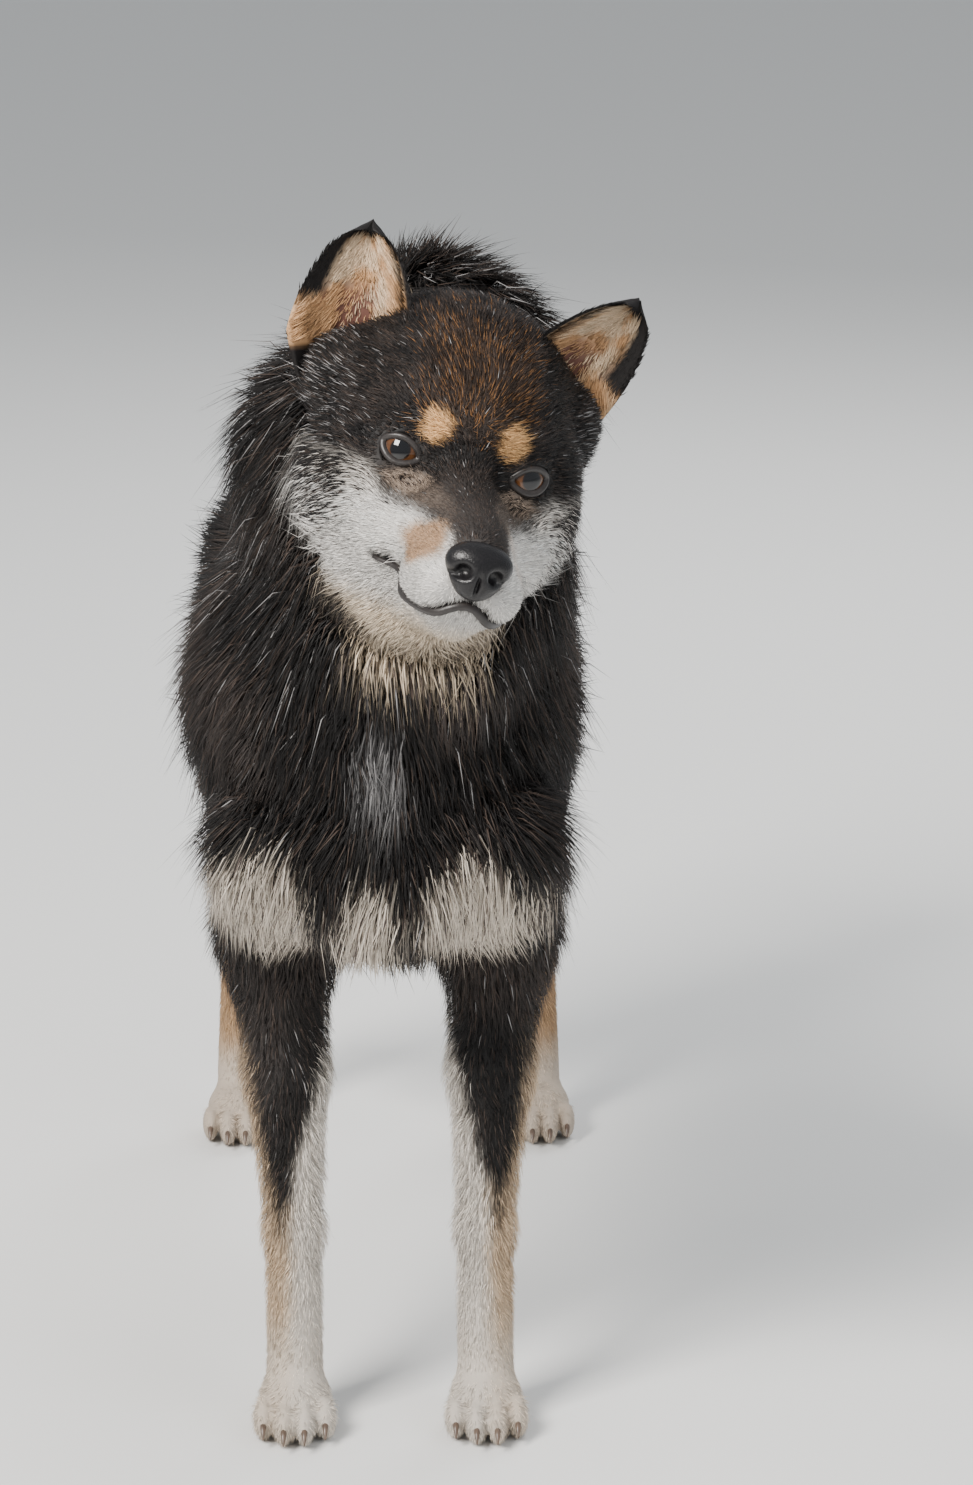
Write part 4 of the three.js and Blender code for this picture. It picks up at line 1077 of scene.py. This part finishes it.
def ear_colours(t, v, inside, outer_edge):
    """Black rim, wide on the outer edge and the tip, round a pale inside that is bare at its base."""
    u = v * outer_edge
    rim = np.maximum(ramp(u, 0.52, 0.66) * ramp(t, 0.4, 0.52), ramp(-u, 0.8, 0.92))
    rim = np.maximum(rim, ramp(u, 0.3, 0.5) * ramp(-t, -0.21, -0.17))
    rim = np.clip(np.maximum(rim, ramp(t, 0.82, 0.9)), 0, 1)
    mottle = ramp(speckle(np.stack([t * 30, v * 12, t * 0], -1), 3, 51), 0.35, 0.75)
    pale = blend(np.tile(CREAM * 0.6 + TAN * 0.4, (len(t), 1)), EAR_TAN, mottle)
    pale = blend(pale, EAR_TAN, ramp(u, 0.3, 0.6) * ramp(-t, -0.5, -0.35))
    return np.where(inside[:, None], blend(pale, BLACK, rim), BLACK * 1.3)


ear_material = coat_material("ear_skin")
for side_name, (foot, tip, opening) in EAR_PLACES.items():
    turn = head_turn @ ear_frame(foot, tip, opening)
    place = from_head([foot])[0]
    outer_edge = 1 if side_name == "right" else -1
    t = np.linspace(0, 1, EAR_ROWS)
    front_v, back_v = np.linspace(-1, 1, EAR_HALF + 1), np.linspace(1, -1, EAR_HALF + 1)[1:-1]
    front = [ear_point(t, np.full(EAR_ROWS, v), 1) for v in front_v]
    back = [ear_point(t, np.full(EAR_ROWS, v), -1) for v in back_v]
    grid = np.stack(front + back, axis=1)
    around = grid.shape[1]
    points = np.vstack([grid.reshape(-1, 3), grid[0].mean(axis=0), grid[-1].mean(axis=0)]) @ turn.T + place
    grid_t, grid_v = np.repeat(t, around), np.tile(np.concatenate([front_v, back_v]), EAR_ROWS)
    within = np.tile(np.arange(around) < len(front_v), EAR_ROWS)
    colour = ear_colours(grid_t, grid_v, within, outer_edge)
    bare = within * ramp(0.7 - np.abs(grid_v), 0, 0.2) * ramp(0.72 - grid_t, 0, 0.25)
    colour = blend(colour, EAR_SKIN, bare)
    ear = piece_from(f"ear_hide_{side_name}", points, rows_closed(EAR_ROWS, around)[:, ::-1], ear_material)
    colours_on(ear, np.vstack([colour, np.tile(BLACK, (2, 1))]))
    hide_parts(f"ear_{side_name}")
    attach(ear, "root")

    t, v = rng.uniform(0.16, 1.0, EAR_HAIRS) ** 0.9, rng.uniform(-1, 1, EAR_HAIRS)
    side = np.where(rng.random(EAR_HAIRS) < 0.5, 1.0, -1.0)
    along = ear_point(np.minimum(t + 0.02, 1), v, side) - ear_point(t - 0.02, v, side)
    sideways = ear_point(t, np.minimum(v + 0.02, 1), side) - ear_point(t, np.maximum(v - 0.02, -1), side)
    normal = np.cross(along, sideways) * side[:, None]
    normal /= np.maximum(np.linalg.norm(normal, axis=1), 1e-9)[:, None]
    inside = (side > 0) & (v * outer_edge < 0.6) & (v * outer_edge > -0.9) & (t < 0.86)
    inside |= (side > 0) & (t < 0.42)
    sweep = np.stack([np.where(inside, -v * 1.1, -v * 0.25), np.zeros(EAR_HAIRS), np.ones(EAR_HAIRS)], -1)
    sweep += rng.normal(0, 0.16, sweep.shape)
    sweep -= normal * (sweep * normal).sum(axis=1)[:, None]
    sweep /= np.linalg.norm(sweep, axis=1)[:, None]
    long_hair = rng.uniform(6, 12, EAR_HAIRS) * (0.5 + 0.6 * np.abs(v))
    short_hair = rng.uniform(3.2, 5.2, EAR_HAIRS) * (1 - 0.6 * ramp(t, 0.8, 0.98))
    length = np.where(inside, long_hair, short_hair)
    thinned = inside & (np.abs(v) < 0.4) & (t < 0.6) & (rng.random(EAR_HAIRS) < 0.85)
    keep = (t < 0.94) & ~thinned
    tint_here = ear_colours(t, v, side > 0, outer_edge) * rng.uniform(0.7, 1.25, EAR_HAIRS)[:, None]
    chart = np.stack([0.5 + 0.45 * v, t], -1) * 0.1 + EAR_CHARTS[side_name]
    tufts(
        f"ear_hair_{side_name}", (ear_point(t, v, side) @ turn.T + place)[keep], (normal @ turn.T)[keep],
        (sweep @ turn.T)[keep], length[keep], np.full(EAR_HAIRS, EAR_HAIR_WIDTH)[keep],
        np.where(inside, 0.42, 0.22)[keep], tint_here[keep] * 0.75, tint_here[keep], chart[keep], sink=0.5,
    )


# Whiskers: a few long stiff hairs, dark and pale, rooted in three rows on the pads of the upper lip.
# They are made as the tufts of the coat are, but longer and further apart.
WHISKER_ROWS = ((-62, -36), (-58, -40), (-54, -44))
WHISKERS_TO_A_ROW = 4
whisker_at, whisker_way = [], []
for s in SIDES:
    for row, (row_y, row_z) in enumerate(WHISKER_ROWS):
        for step in range(WHISKERS_TO_A_ROW):
            whisker_at.append([s * 20, row_y + step * 7, row_z + step])
            whisker_way.append([s * 1.0, 0.15 + 0.22 * step, -0.25 * row + 0.1])
whisker_at = drawn_onto(skin_height, from_head(np.array(whisker_at, dtype=float)))
whisker_normal = slope_of(skin_height, whisker_at)
whisker_way = np.array(whisker_way) @ head_turn.T
whisker_way -= whisker_normal * (whisker_way * whisker_normal).sum(axis=1)[:, None]
whisker_way /= np.linalg.norm(whisker_way, axis=1)[:, None]
whiskers = len(whisker_at)
whisker_tint = np.where((np.arange(whiskers) % 3 == 0)[:, None], WHITE * 0.8, BLACK * 2)
tufts(
    "whiskers", whisker_at, whisker_normal, whisker_way, rng.uniform(22, 36, whiskers),
    np.full(whiskers, 0.16), rng.uniform(0.5, 0.8, whiskers), whisker_tint, whisker_tint,
    np.full((whiskers, 2), 0.97),
)


# Claws: short curved horn, dark, one at the front of each toe. They grow out of the toe and bend down
# to just above the floor.
CLAW_SPINE = np.array([[0, 0, 0], [0, -2.6, 0.2], [0, -4.8, -1.4], [0, -6.2, -3.8]])
CLAW_RADII = (1.9, 1.7, 1.2, 0.4)
CLAW_SIDES = 10
TOE_TO_CLAW = 9.5
claw_material, claw_tree, claw_shader = new_material("claw_horn", 0.35)
claw_grain = grain_in(claw_tree, 420)
claw_tint = two_tones(claw_tree, claw_grain.outputs["Grain"], (0.035, 0.025, 0.02), (0.16, 0.11, 0.08))
claw_tree.links.new(claw_tint, claw_shader.inputs["Base Color"])
claw_round = np.linspace(0, 2 * np.pi, CLAW_SIDES, endpoint=False)
claw_ring = np.stack([0.8 * np.cos(claw_round), 0.25 * np.sin(claw_round), np.sin(claw_round)], -1)
claw_points, claw_faces = [], []
for x, y in paws_at:
    for toe in toes_of(x, y):
        top = np.array(toe) - [0, TOE_TO_CLAW, 0]
        rings = [top + middle + radius * claw_ring for middle, radius in zip(CLAW_SPINE, CLAW_RADII)]
        horn = np.vstack([*rings, top + [0, 1, 0], top + CLAW_SPINE[-1] + [0, -0.3, -0.4]])
        horn[:, 2] = np.maximum(horn[:, 2], FLOOR_GAP)
        claw_faces.append(rows_closed(len(CLAW_RADII), CLAW_SIDES) + len(claw_points) * len(horn))
        claw_points.append(horn)
claws = piece_from("claws", np.vstack(claw_points), np.vstack(claw_faces), claw_material)
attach(claws, "root")
